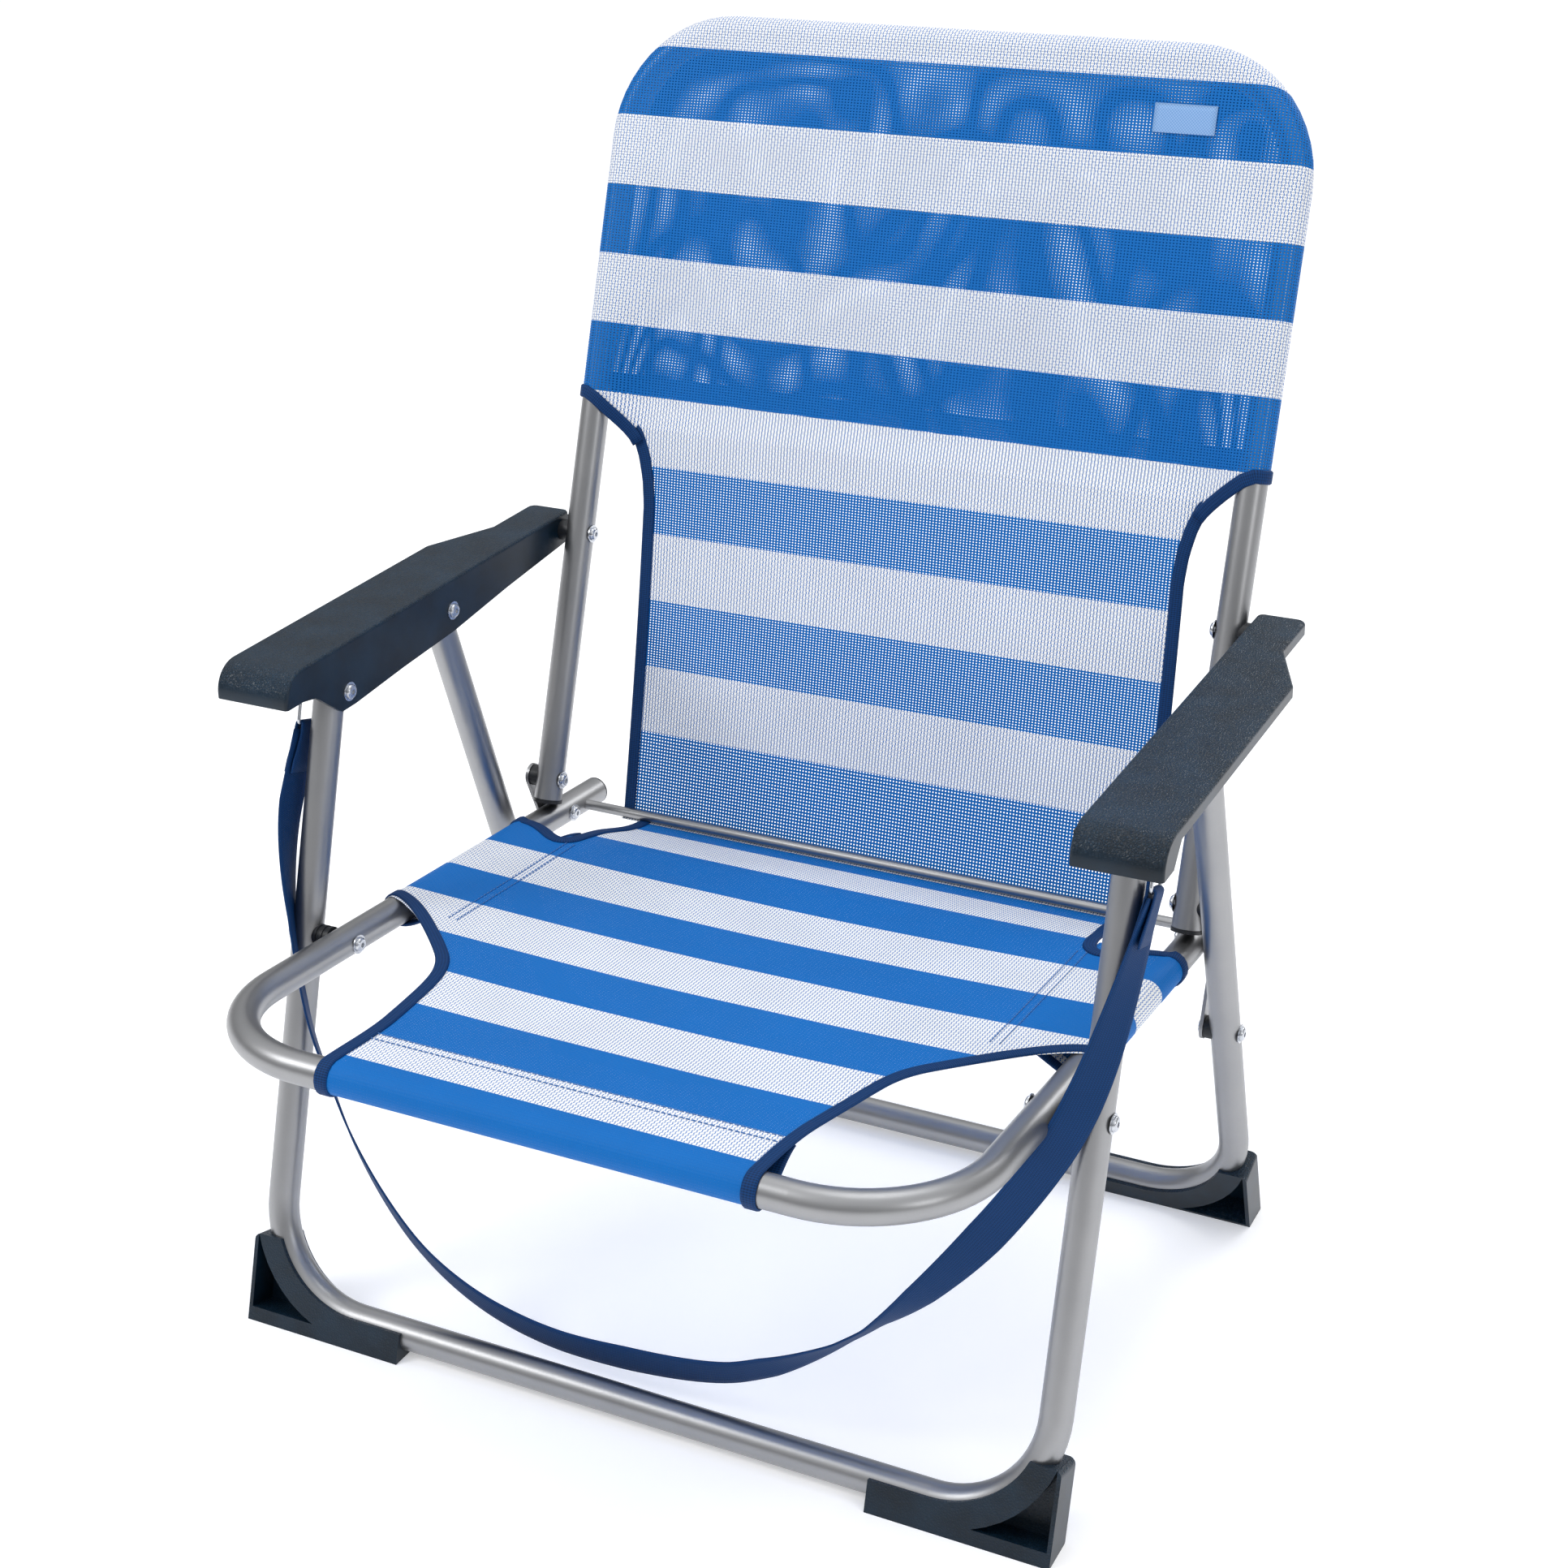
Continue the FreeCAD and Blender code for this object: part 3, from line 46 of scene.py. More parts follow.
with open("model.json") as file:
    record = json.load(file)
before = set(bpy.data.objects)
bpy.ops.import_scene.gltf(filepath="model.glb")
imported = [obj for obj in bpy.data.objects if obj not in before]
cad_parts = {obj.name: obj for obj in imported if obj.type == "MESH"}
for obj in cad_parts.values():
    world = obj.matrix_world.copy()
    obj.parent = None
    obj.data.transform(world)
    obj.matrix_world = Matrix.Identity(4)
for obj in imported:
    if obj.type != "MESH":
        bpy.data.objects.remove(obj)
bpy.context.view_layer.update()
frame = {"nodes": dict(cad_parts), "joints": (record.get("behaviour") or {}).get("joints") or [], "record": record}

MM = 0.001


class Body(Enum):
    """Rigid bodies of the frame that soft pieces ride on."""

    FRONT = "front_frame"
    BACK = "backrest"
    SEAT = "seat"


class Slot(Enum):
    """Material slots of the record."""

    CLOTH = "striped_cloth"
    WEBBING = "navy_webbing"


# ---------------------------------------------------------------- small tools


def linear(colour: str) -> tuple[float, float, float, float]:
    """Turn an sRGB hex colour into linear RGBA.

    Args:
        colour: Six hex digits after a hash.

    Returns:
        Red, green, blue and an alpha of one.
    """
    parts = [int(colour[k : k + 2], 16) / 255 for k in (1, 3, 5)]
    bent = [c / 12.92 if c <= 0.04045 else ((c + 0.055) / 1.055) ** 2.4 for c in parts]
    return (bent[0], bent[1], bent[2], 1.0)


def add_node(
    tree: bpy.types.NodeTree,
    kind: str,
    settings: dict | None = None,
    inputs: dict | None = None,
) -> bpy.types.Node:
    """Add a node with its settings and links.

    Args:
        tree: Node tree that takes the node.
        kind: Blender's type name of the node.
        settings: Properties of the node.
        inputs: Input name or index to a value, a socket, or a node whose first output is used.

    Returns:
        The new node.
    """
    made = tree.nodes.new(kind)
    for key, value in (settings or {}).items():
        setattr(made, key, value)
    for key, value in (inputs or {}).items():
        if isinstance(value, bpy.types.Node):
            value = value.outputs[0]
        if isinstance(value, bpy.types.NodeSocket):
            tree.links.new(value, made.inputs[key])
        else:
            made.inputs[key].default_value = value
    return made


def ease(low: float, high: float, value: float) -> float:
    """Smooth step from 0 at low to 1 at high."""
    share = min(1.0, max(0.0, (value - low) / (high - low)))
    return share * share * (3 - 2 * share)


def between(points: Sequence[tuple[float, float]], at: float) -> float:
    """Read a line chart.

    Args:
        points: (place, value) pairs in rising order of place.
        at: Where to read it.

    Returns:
        The value there, held level beyond the ends.
    """
    if at <= points[0][0]:
        return points[0][1]
    for (a, va), (b, vb) in zip(points, points[1:]):
        if at <= b:
            return va + (vb - va) * (at - a) / (b - a)
    return points[-1][1]


def along_outline(points: Sequence[tuple[float, float]], share: float) -> tuple[float, float]:
    """Walk an outline of straight pieces.

    Args:
        points: Corners of the outline.
        share: How far along its whole length, from 0 to 1.

    Returns:
        The point there.
    """
    steps = [math.dist(a, b) for a, b in zip(points, points[1:])]
    left = share * sum(steps)
    for (a, b), step in zip(zip(points, points[1:]), steps):
        if left <= step or b is points[-1]:
            part = min(1.0, left / step)
            return (a[0] + (b[0] - a[0]) * part, a[1] + (b[1] - a[1]) * part)
        left -= step
    return points[-1]


@dataclass(frozen=True)
class SidePlane:
    """A tilted plane across the chair, such as the one through the tubes of the backrest."""

    origin: Vector
    along: Vector
    off: Vector

    def at(self, x: float, s: float, n: float) -> Vector:
        """Point x to the side, s along the plane and n off it."""
        return self.origin + Vector((x, 0, 0)) + self.along * s + self.off * n


@dataclass(frozen=True)
class Station:
    """One place of a section that is swept along a path."""

    centre: Vector
    side: Vector
    up: Vector
    along: float


# ---------------------------------------------------------------- finishes


@dataclass(frozen=True)
class Finish:
    """A material, made once and shared."""

    name: str

    def material(self) -> bpy.types.Material:
        """Build the material on first use.

        Returns:
            The shared material.
        """
        found = bpy.data.materials.get(self.name)
        if found is not None:
            return found
        made = bpy.data.materials.new(self.name)
        made.use_nodes = True
        tree = made.node_tree
        tree.nodes.clear()
        shader = add_node(tree, "ShaderNodeBsdfPrincipled")
        add_node(tree, "ShaderNodeOutputMaterial", None, {"Surface": shader})
        self.dress(tree, shader)
        return made

    def dress(self, tree: bpy.types.NodeTree, shader: bpy.types.Node) -> None:
        """Set the shader's sockets and link its patterns.

        Args:
            tree: Node tree of the material.
            shader: Its principled shader.
        """
        raise NotImplementedError


@dataclass(frozen=True)
class SatinAluminium(Finish):
    """Drawn aluminium tube, etched and clear anodised: soft wide highlights, a fine frosting."""

    colour: str = "#A6A6A7"
    shade: str = "#97989A"
    roughness: float = 0.38
    frosting: float = 1.6 * MM

    def dress(self, tree: bpy.types.NodeTree, shader: bpy.types.Node) -> None:
        """Frosting varies roughness and colour a little and lifts a fine grain.

        Args:
            tree: Node tree of the material.
            shader: Its principled shader.
        """
        place = add_node(tree, "ShaderNodeTexCoord")
        cloud = add_node(
            tree,
            "ShaderNodeTexNoise",
            None,
            {"Vector": place.outputs["Object"], "Scale": 1 / (40 * MM), "Detail": 3.0},
        )
        grain = add_node(
            tree,
            "ShaderNodeTexNoise",
            None,
            {"Vector": place.outputs["Object"], "Scale": 1 / self.frosting, "Detail": 4.0},
        )
        tone = add_node(
            tree,
            "ShaderNodeMix",
            {"data_type": "RGBA"},
            {0: cloud, 6: linear(self.shade), 7: linear(self.colour)},
        )
        rough = add_node(
            tree,
            "ShaderNodeMapRange",
            None,
            {0: grain, 3: self.roughness - 0.05, 4: self.roughness + 0.07},
        )
        bump = add_node(
            tree, "ShaderNodeBump", None, {"Height": grain, "Strength": 0.06, "Distance": 0.1 * MM}
        )
        tree.links.new(tone.outputs[2], shader.inputs["Base Color"])
        tree.links.new(rough.outputs[0], shader.inputs["Roughness"])
        tree.links.new(bump.outputs[0], shader.inputs["Normal"])
        shader.inputs["Metallic"].default_value = 1.0


@dataclass(frozen=True)
class MouldedPlastic(Finish):
    """Injection-moulded polypropylene: leather grain on the upper faces, smooth side walls."""

    colour: str = "#04141F"
    # Lighter colour: painted highlight on the grain of upward faces, and a random tone.
    highlight_and_tone: str = "#16344A"
    roughness: float = 0.4
    cell: float = 1.9 * MM
    depth: float = 0.35 * MM

    def dress(self, tree: bpy.types.NodeTree, shader: bpy.types.Node) -> None:
        """Grain comes from cells whose borders are low; faces that look sideways stay smooth. The cells on upward
        faces are painted lighter as a painted highlight of the lit top, mixed with a random lighter tone
        everywhere.

        Args:
            tree: Node tree of the material.
            shader: Its principled shader.
        """
        place = add_node(tree, "ShaderNodeTexCoord")
        warp = add_node(
            tree,
            "ShaderNodeTexNoise",
            None,
            {"Vector": place.outputs["Object"], "Scale": 1 / (2 * self.cell), "Detail": 2.0},
        )
        bent = add_node(
            tree,
            "ShaderNodeVectorMath",
            {"operation": "MULTIPLY_ADD"},
            {0: warp.outputs["Color"], 1: (self.cell,) * 3, 2: place.outputs["Object"]},
        )
        cells = add_node(
            tree,
            "ShaderNodeTexVoronoi",
            {"feature": "DISTANCE_TO_EDGE"},
            {"Vector": bent, "Scale": 1 / self.cell},
        )
        pebble = add_node(tree, "ShaderNodeMapRange", None, {0: cells, 1: 0.0, 2: 0.35})
        faces = add_node(
            tree, "ShaderNodeSeparateXYZ", None, {0: place.outputs["Normal"]}
        )
        upper = add_node(tree, "ShaderNodeMapRange", None, {0: faces.outputs[2], 1: 0.15, 2: 0.6})
        height = add_node(
            tree, "ShaderNodeMath", {"operation": "MULTIPLY"}, {0: pebble, 1: upper}
        )
        bump = add_node(
            tree,
            "ShaderNodeBump",
            None,
            {"Height": height, "Strength": 1.0, "Distance": self.depth},
        )
        cloud = add_node(
            tree,
            "ShaderNodeTexNoise",
            None,
            {"Vector": place.outputs["Object"], "Scale": 1 / (30 * MM), "Detail": 5.0},
        )
        tone = add_node(tree, "ShaderNodeMapRange", None, {0: cloud, 1: 0.35, 2: 0.75})
        share = add_node(
            tree, "ShaderNodeMath", {"operation": "MULTIPLY"}, {0: tone, 1: 0.45}
        )
        # Painted highlight on the grain crests of upward faces, plus a random tone on every face.
        raised = add_node(
            tree, "ShaderNodeMath", {"operation": "MULTIPLY_ADD"}, {0: height, 1: 0.55, 2: share}
        )
        mix = add_node(
            tree,
            "ShaderNodeMix",
            {"data_type": "RGBA"},
            {0: raised, 6: linear(self.colour), 7: linear(self.highlight_and_tone)},
        )
        rough = add_node(
            tree,
            "ShaderNodeMapRange",
            None,
            {0: height, 3: self.roughness - 0.08, 4: self.roughness + 0.08},
        )
        tree.links.new(mix.outputs[2], shader.inputs["Base Color"])
        tree.links.new(rough.outputs[0], shader.inputs["Roughness"])
        tree.links.new(bump.outputs[0], shader.inputs["Normal"])
        shader.inputs["Specular IOR Level"].default_value = 0.35


@dataclass(frozen=True)
class BlackPlastic(Finish):
    """Moulded nylon of bushes and stoppers: near black with a dull, slightly mottled skin."""

    colour: str = "#15181D"
    roughness: float = 0.45

    def dress(self, tree: bpy.types.NodeTree, shader: bpy.types.Node) -> None:
        """A fine mottle breaks the highlight.

        Args:
            tree: Node tree of the material.
            shader: Its principled shader.
        """
        place = add_node(tree, "ShaderNodeTexCoord")
        mottle = add_node(
            tree,
            "ShaderNodeTexNoise",
            None,
            {"Vector": place.outputs["Object"], "Scale": 1 / (0.8 * MM), "Detail": 3.0},
        )
        rough = add_node(
            tree,
            "ShaderNodeMapRange",
            None,
            {0: mottle, 3: self.roughness - 0.08, 4: self.roughness + 0.1},
        )
        bump = add_node(
            tree,
            "ShaderNodeBump",
            None,
            {"Height": mottle, "Strength": 0.15, "Distance": 0.1 * MM},
        )
        shader.inputs["Base Color"].default_value = linear(self.colour)
        tree.links.new(rough.outputs[0], shader.inputs["Roughness"])
        tree.links.new(bump.outputs[0], shader.inputs["Normal"])


@dataclass(frozen=True)
class ZincSteel(Finish):
    """Turned steel with bright zinc plate: crisp highlights and faint passivation clouds."""

    colour: str = "#D5D7DA"
    cloud_colour: str = "#B4B8C0"
    roughness: float = 0.22

    def dress(self, tree: bpy.types.NodeTree, shader: bpy.types.Node) -> None:
        """Clouds of the plating shift colour and gloss together.

        Args:
            tree: Node tree of the material.
            shader: Its principled shader.
        """
        place = add_node(tree, "ShaderNodeTexCoord")
        cloud = add_node(
            tree,
            "ShaderNodeTexNoise",
            None,
            {"Vector": place.outputs["Object"], "Scale": 1 / (4 * MM), "Detail": 4.0},
        )
        mix = add_node(
            tree,
            "ShaderNodeMix",
            {"data_type": "RGBA"},
            {0: cloud, 6: linear(self.colour), 7: linear(self.cloud_colour)},
        )
        rough = add_node(
            tree,
            "ShaderNodeMapRange",
            None,
            {0: cloud, 3: self.roughness - 0.05, 4: self.roughness + 0.12},
        )
        tree.links.new(mix.outputs[2], shader.inputs["Base Color"])
        tree.links.new(rough.outputs[0], shader.inputs["Roughness"])
        shader.inputs["Metallic"].default_value = 1.0


@dataclass(frozen=True)
class StripedMesh(Finish):
    """Open plain weave of vinyl-coated polyester yarn, in blue and white stripes.

    Warp yarns run along the chair and are blue all through. Weft yarns run across it and change
    between blue and white, so white stripes are flecked with blue where a warp yarn lies on top.
    The weave reads its place from the cloth's flat pattern, in metres.
    """

    blue: str = "#046BBC"
    white: str = "#F7F7F6"
    stripe: float = 53.0 * MM
    start: float = 308.0 * MM
    warp_pitch: float = 2.55 * MM
    weft_pitch: float = 2.06 * MM
    hole: float = 0.40
    white_hole: float = 0.16
    sleeve: float = -1.0
    fleck: float = 0.48
    roughness: float = 0.55
    relief: float = 0.30 * MM

    def dress(self, tree: bpy.types.NodeTree, shader: bpy.types.Node) -> None:
        """Stripes, over-and-under yarns, relief and the holes between the yarns.

        Args:
            tree: Node tree of the material.
            shader: Its principled shader.
        """
        cloth = add_node(tree, "ShaderNodeUVMap", {"uv_map": "cloth"})
        flat = add_node(tree, "ShaderNodeSeparateXYZ", None, {0: cloth})
        bands = add_node(
            tree,
            "ShaderNodeMath",
            {"operation": "MULTIPLY_ADD"},
            {0: flat.outputs[1], 1: 0.5 / self.stripe, 2: -0.5 * self.start / self.stripe},
        )
        phase = add_node(tree, "ShaderNodeMath", {"operation": "FRACT"}, {0: bands})
        in_band = add_node(
            tree, "ShaderNodeMath", {"operation": "LESS_THAN"}, {0: phase, 1: 0.5}
        )
        in_sleeve = add_node(
            tree,
            "ShaderNodeMath",
            {"operation": "LESS_THAN"},
            {0: flat.outputs[1], 1: self.sleeve},
        )
        is_blue = add_node(
            tree, "ShaderNodeMath", {"operation": "MAXIMUM"}, {0: in_band, 1: in_sleeve}
        )
        warp = add_node(
            tree,
            "ShaderNodeMath",
            {"operation": "DIVIDE"},
            {0: flat.outputs[0], 1: self.warp_pitch},
        )
        weft = add_node(
            tree,
            "ShaderNodeMath",
            {"operation": "DIVIDE"},
            {0: flat.outputs[1], 1: self.weft_pitch},
        )
        warp_at = add_node(tree, "ShaderNodeMath", {"operation": "FRACT"}, {0: warp})
        weft_at = add_node(tree, "ShaderNodeMath", {"operation": "FRACT"}, {0: weft})
        warp_no = add_node(tree, "ShaderNodeMath", {"operation": "FLOOR"}, {0: warp})
        weft_no = add_node(tree, "ShaderNodeMath", {"operation": "FLOOR"}, {0: weft})
        turn = add_node(tree, "ShaderNodeMath", {"operation": "ADD"}, {0: warp_no, 1: weft_no})
        half = add_node(tree, "ShaderNodeMath", {"operation": "MULTIPLY"}, {0: turn, 1: 0.5})
        odd = add_node(tree, "ShaderNodeMath", {"operation": "FRACT"}, {0: half})
        warp_over = add_node(
            tree, "ShaderNodeMath", {"operation": "LESS_THAN"}, {0: odd, 1: 0.25}
        )
        # Distance from the middle of a yarn, 0 at its middle and 1 half a pitch away.
        off_warp = add_node(
            tree, "ShaderNodeMath", {"operation": "PINGPONG"}, {0: warp_at, 1: 0.5}
        )
        off_weft = add_node(
            tree, "ShaderNodeMath", {"operation": "PINGPONG"}, {0: weft_at, 1: 0.5}
        )
        hole = add_node(
            tree,
            "ShaderNodeMapRange",
            None,
            {0: is_blue, 3: self.white_hole, 4: self.hole},
        )
        yarn = add_node(
            tree,
            "ShaderNodeMath",
            {"operation": "MULTIPLY_ADD"},
            {0: hole, 1: -0.5, 2: 0.5},
        )
        in_warp = add_node(
            tree,
            "ShaderNodeMath",
            {"operation": "LESS_THAN"},
            {0: off_warp, 1: (1 - self.hole) / 2},
        )
        in_weft = add_node(
            tree, "ShaderNodeMath", {"operation": "LESS_THAN"}, {0: off_weft, 1: yarn}
        )
        solid = add_node(
            tree, "ShaderNodeMath", {"operation": "MAXIMUM"}, {0: in_warp, 1: in_weft}
        )
        # A warp yarn shows where it passes over, or where no weft yarn covers it.
        bare = add_node(tree, "ShaderNodeMath", {"operation": "SUBTRACT"}, {0: 1.0, 1: in_weft})
        on_top = add_node(
            tree, "ShaderNodeMath", {"operation": "MAXIMUM"}, {0: warp_over, 1: bare}
        )
        in_fleck = add_node(
            tree, "ShaderNodeMath", {"operation": "LESS_THAN"}, {0: off_warp, 1: self.fleck / 2}
        )
        fleck = add_node(
            tree, "ShaderNodeMath", {"operation": "MULTIPLY"}, {0: on_top, 1: in_fleck}
        )
        blue_here = add_node(
            tree, "ShaderNodeMath", {"operation": "MAXIMUM"}, {0: fleck, 1: is_blue}
        )
        cloud = add_node(
            tree,
            "ShaderNodeTexNoise",
            None,
            {"Vector": cloth, "Scale": 1 / (60 * MM), "Detail": 3.0},
        )
        dim = add_node(tree, "ShaderNodeMapRange", None, {0: cloud, 3: 0.92, 4: 1.06})
        colour = add_node(
            tree,
            "ShaderNodeMix",
            {"data_type": "RGBA"},
            {0: blue_here, 6: linear(self.white), 7: linear(self.blue)},
        )
        toned = add_node(
            tree,
            "ShaderNodeMix",
            {"data_type": "RGBA", "blend_type": "MULTIPLY"},
            {0: 1.0, 6: colour.outputs[2], 7: dim},
        )
        crown_warp = add_node(
            tree, "ShaderNodeMapRange", None, {0: off_warp, 1: 0.0, 2: 0.5, 3: 1.0, 4: 0.0}
        )
        crown_weft = add_node(
            tree, "ShaderNodeMapRange", None, {0: off_weft, 1: 0.0, 2: 0.5, 3: 1.0, 4: 0.0}
        )
        height = add_node(
            tree,
            "ShaderNodeMix",
            {"data_type": "FLOAT"},
            {0: fleck, 2: crown_weft, 3: crown_warp},
        )
        bump = add_node(
            tree,
            "ShaderNodeBump",
            None,
            {"Height": height, "Strength": 0.5, "Distance": self.relief},
        )
        tree.links.new(toned.outputs[2], shader.inputs["Base Color"])
        tree.links.new(solid.outputs[0], shader.inputs["Alpha"])
        tree.links.new(bump.outputs[0], shader.inputs["Normal"])
        shader.inputs["Roughness"].default_value = self.roughness
        shader.inputs["Specular IOR Level"].default_value = 0.2


@dataclass(frozen=True)
class RibbedWebbing(Finish):
    """Woven polyester tape: close ribs across its length, with a soft sheen."""

    colour: str = "#093C74"
    # Painted shade for the grooves between the ribs.
    groove_shade: str = "#052748"
    rib: float = 1.3 * MM
    stagger: float = 0.5
    roughness: float = 0.62

    def dress(self, tree: bpy.types.NodeTree, shader: bpy.types.Node) -> None:
        """Ribs with staggered picks; the grooves between them carry a painted shade.

        Args:
            tree: Node tree of the material.
            shader: Its principled shader.
        """
        cloth = add_node(tree, "ShaderNodeUVMap", {"uv_map": "cloth"})
        flat = add_node(tree, "ShaderNodeSeparateXYZ", None, {0: cloth})
        wave = add_node(
            tree,
            "ShaderNodeMath",
            {"operation": "DIVIDE"},
            {0: flat.outputs[1], 1: self.rib},
        )
        column = add_node(
            tree,
            "ShaderNodeMath",
            {"operation": "DIVIDE"},
            {0: flat.outputs[0], 1: 1.4 * self.rib},
        )
        column_no = add_node(tree, "ShaderNodeMath", {"operation": "FLOOR"}, {0: column})
        shift = add_node(
            tree,
            "ShaderNodeMath",
            {"operation": "MULTIPLY_ADD"},
            {0: column_no, 1: self.stagger, 2: wave},
        )
        pick = add_node(tree, "ShaderNodeMath", {"operation": "PINGPONG"}, {0: shift, 1: 0.5})
        edge = add_node(tree, "ShaderNodeMath", {"operation": "PINGPONG"}, {0: column, 1: 0.5})
        crown = add_node(
            tree, "ShaderNodeMath", {"operation": "MULTIPLY_ADD"}, {0: edge, 1: 0.6, 2: pick}
        )
        tone = add_node(tree, "ShaderNodeMapRange", None, {0: crown, 1: 0.1, 2: 0.55})
        # Painted shade: the grooves take the darker colour, the rib crowns the full one.
        mix = add_node(
            tree,
            "ShaderNodeMix",
            {"data_type": "RGBA"},
            {0: tone, 6: linear(self.groove_shade), 7: linear(self.colour)},
        )
        bump = add_node(
            tree,
            "ShaderNodeBump",
            None,
            {"Height": crown, "Strength": 0.6, "Distance": 0.35 * MM},
        )
        tree.links.new(mix.outputs[2], shader.inputs["Base Color"])
        tree.links.new(bump.outputs[0], shader.inputs["Normal"])
        shader.inputs["Roughness"].default_value = self.roughness
        shader.inputs["Specular IOR Level"].default_value = 0.2


@dataclass(frozen=True)
class SewingThread(Finish):
    """Twisted polyester thread, lit softly along its twist."""

    colour: str = "#4C7DBB"
    roughness: float = 0.55

    def dress(self, tree: bpy.types.NodeTree, shader: bpy.types.Node) -> None:
        """The twist is a fine slanted ripple.

        Args:
            tree: Node tree of the material.
            shader: Its principled shader.
        """
        place = add_node(tree, "ShaderNodeTexCoord")
        twist = add_node(
            tree,
            "ShaderNodeTexWave",
            {"bands_direction": "DIAGONAL"},
            {"Vector": place.outputs["Object"], "Scale": 1 / (1.2 * MM)},
        )
        bump = add_node(
            tree, "ShaderNodeBump", None, {"Height": twist, "Strength": 0.3, "Distance": 0.1 * MM}
        )
        shader.inputs["Base Color"].default_value = linear(self.colour)
        shader.inputs["Roughness"].default_value = self.roughness
        tree.links.new(bump.outputs[0], shader.inputs["Normal"])


@dataclass(frozen=True)
class WovenPatch(Finish):
    """Small damask label, pale blue on blue, left without any words."""

    colour: str = "#6C9BD3"
    thread: str = "#93B6E2"
    pitch: float = 1.1 * MM

    def dress(self, tree: bpy.types.NodeTree, shader: bpy.types.Node) -> None:
        """Fine crosswise threads.

        Args:
            tree: Node tree of the material.
            shader: Its principled shader.
        """
        cloth = add_node(tree, "ShaderNodeUVMap", {"uv_map": "cloth"})
        weave = add_node(
            tree,
            "ShaderNodeTexChecker",
            None,
            {
                "Vector": cloth,
                "Color1": linear(self.colour),
                "Color2": linear(self.thread),
                "Scale": 1 / self.pitch,
            },
        )
        tree.links.new(weave.outputs[0], shader.inputs["Base Color"])
        shader.inputs["Roughness"].default_value = 0.6


@dataclass(frozen=True)
class StudioFloor(Finish):
    """Matt white painted board."""

    colour: str = "#F8F8F9"
    glow: float = 0.3

    def dress(self, tree: bpy.types.NodeTree, shader: bpy.types.Node) -> None:
        """Plain and matt, lit through from below as a shooting table is.

        Args:
            tree: Node tree of the material.
            shader: Its principled shader.
        """
        shader.inputs["Base Color"].default_value = linear(self.colour)
        shader.inputs["Emission Color"].default_value = linear(self.colour)
        shader.inputs["Emission Strength"].default_value = self.glow
        shader.inputs["Roughness"].default_value = 0.9
        shader.inputs["Specular IOR Level"].default_value = 0.1


ALUMINIUM = SatinAluminium("satin_anodised_aluminium")
SLATE_PLASTIC = MouldedPlastic("slate_polypropylene_leather_grain")
BLACK_NYLON = BlackPlastic("black_moulded_nylon")
ZINC = ZincSteel("bright_zinc_steel")
BACK_MESH = StripedMesh("striped_polyester_mesh_back")
SEAT_MESH = StripedMesh(
    "striped_polyester_mesh_seat",
    stripe=52.7 * MM,
    start=47.0 * MM,
    sleeve=10.0 * MM,
    hole=0.07,
    white_hole=0.05,
)
STRAP_WEBBING = RibbedWebbing("navy_polyester_webbing")
# The binding tape's darker groove colour is a painted shade.
EDGE_TAPE = RibbedWebbing("navy_binding_tape", groove_shade="#03203F", rib=1.5 * MM, stagger=0.0)
THREAD = SewingThread("blue_polyester_thread")
PATCH = WovenPatch("pale_damask_label")


# ---------------------------------------------------------------- mesh helpers


def new_cloth() -> bmesh.types.BMesh:
    """Start a mesh whose points remember their place on the flat cloth.

    Returns:
        An empty mesh with a "flat" layer.
    """
    made = bmesh.new()
    made.verts.layers.float_vector.new("flat")
    return made


def publish(
    made: bmesh.types.BMesh,
    name: str,
    finish: Finish,
    body: Body,
) -> bpy.types.Object:
    """Turn a bmesh into a piece that rides on the frame.

    Args:
        made: The finished mesh; it is freed.
        name: Name of the piece.
        finish: Its material.
        body: Body of the frame that carries it.

    Returns:
        The new object.
    """
    flat = made.verts.layers.float_vector.get("flat")
    if flat is not None:
        chart = made.loops.layers.uv.new("cloth")
        for face in made.faces:
            for corner in face.loops:
                corner[chart].uv = corner.vert[flat].xy
    for face in made.faces:
        face.smooth = True
    mesh = bpy.data.meshes.new(name)
    made.to_mesh(mesh)
    made.free()
    mesh.materials.append(finish.material())
    piece = bpy.data.objects.new(name, mesh)
    bpy.context.scene.collection.objects.link(piece)
    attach(piece, body.value)
    LOG.info("%s: %d faces", name, len(mesh.polygons))
    return piece


def sweep(
    made: bmesh.types.BMesh,
    section: Sequence[tuple[float, float]],
    stations: Sequence[Station],
) -> None:
    """Sweep a closed section along stations and close both ends.

    Args:
        made: Mesh that takes the swept shape; it has a "flat" layer.
        section: (side, up) corners of the section in metres.
        stations: Where the section stands, one after another.
    """
    number = made.verts.layers.int.get("number") or made.verts.layers.int.new("number")
    # A new layer moves the others, so this one is fetched after it.
    flat = made.verts.layers.float_vector.get("flat")

    def stand(corner: bmesh.types.BMVert, station: Station) -> None:
        """Put a corner of the section at a station.

        Args:
            corner: Point that holds its number in the section.
            station: Where the section stands.
        """
        side, up = section[corner[number]]
        corner.co = station.centre + station.side * side + station.up * up
        corner[flat] = Vector((side + 2 * up, station.along, 0))

    ring = []
    for k in range(len(section)):
        corner = made.verts.new((0, 0, 0))
        corner[number] = k
        stand(corner, stations[0])
        ring.append(corner)
    edges = [made.edges.new((a, b)) for a, b in zip(ring, ring[1:] + ring[:1])]
    made.faces.new(list(reversed(ring)))
    for station in stations[1:]:
        grown = bmesh.ops.extrude_edge_only(made, edges=edges)["geom"]
        edges = [g for g in grown if isinstance(g, bmesh.types.BMEdge)]
        ring = [g for g in grown if isinstance(g, bmesh.types.BMVert)]
        for corner in ring:
            stand(corner, station)
    bmesh.ops.contextual_create(made, geom=edges)
    bmesh.ops.recalc_face_normals(made, faces=made.faces)


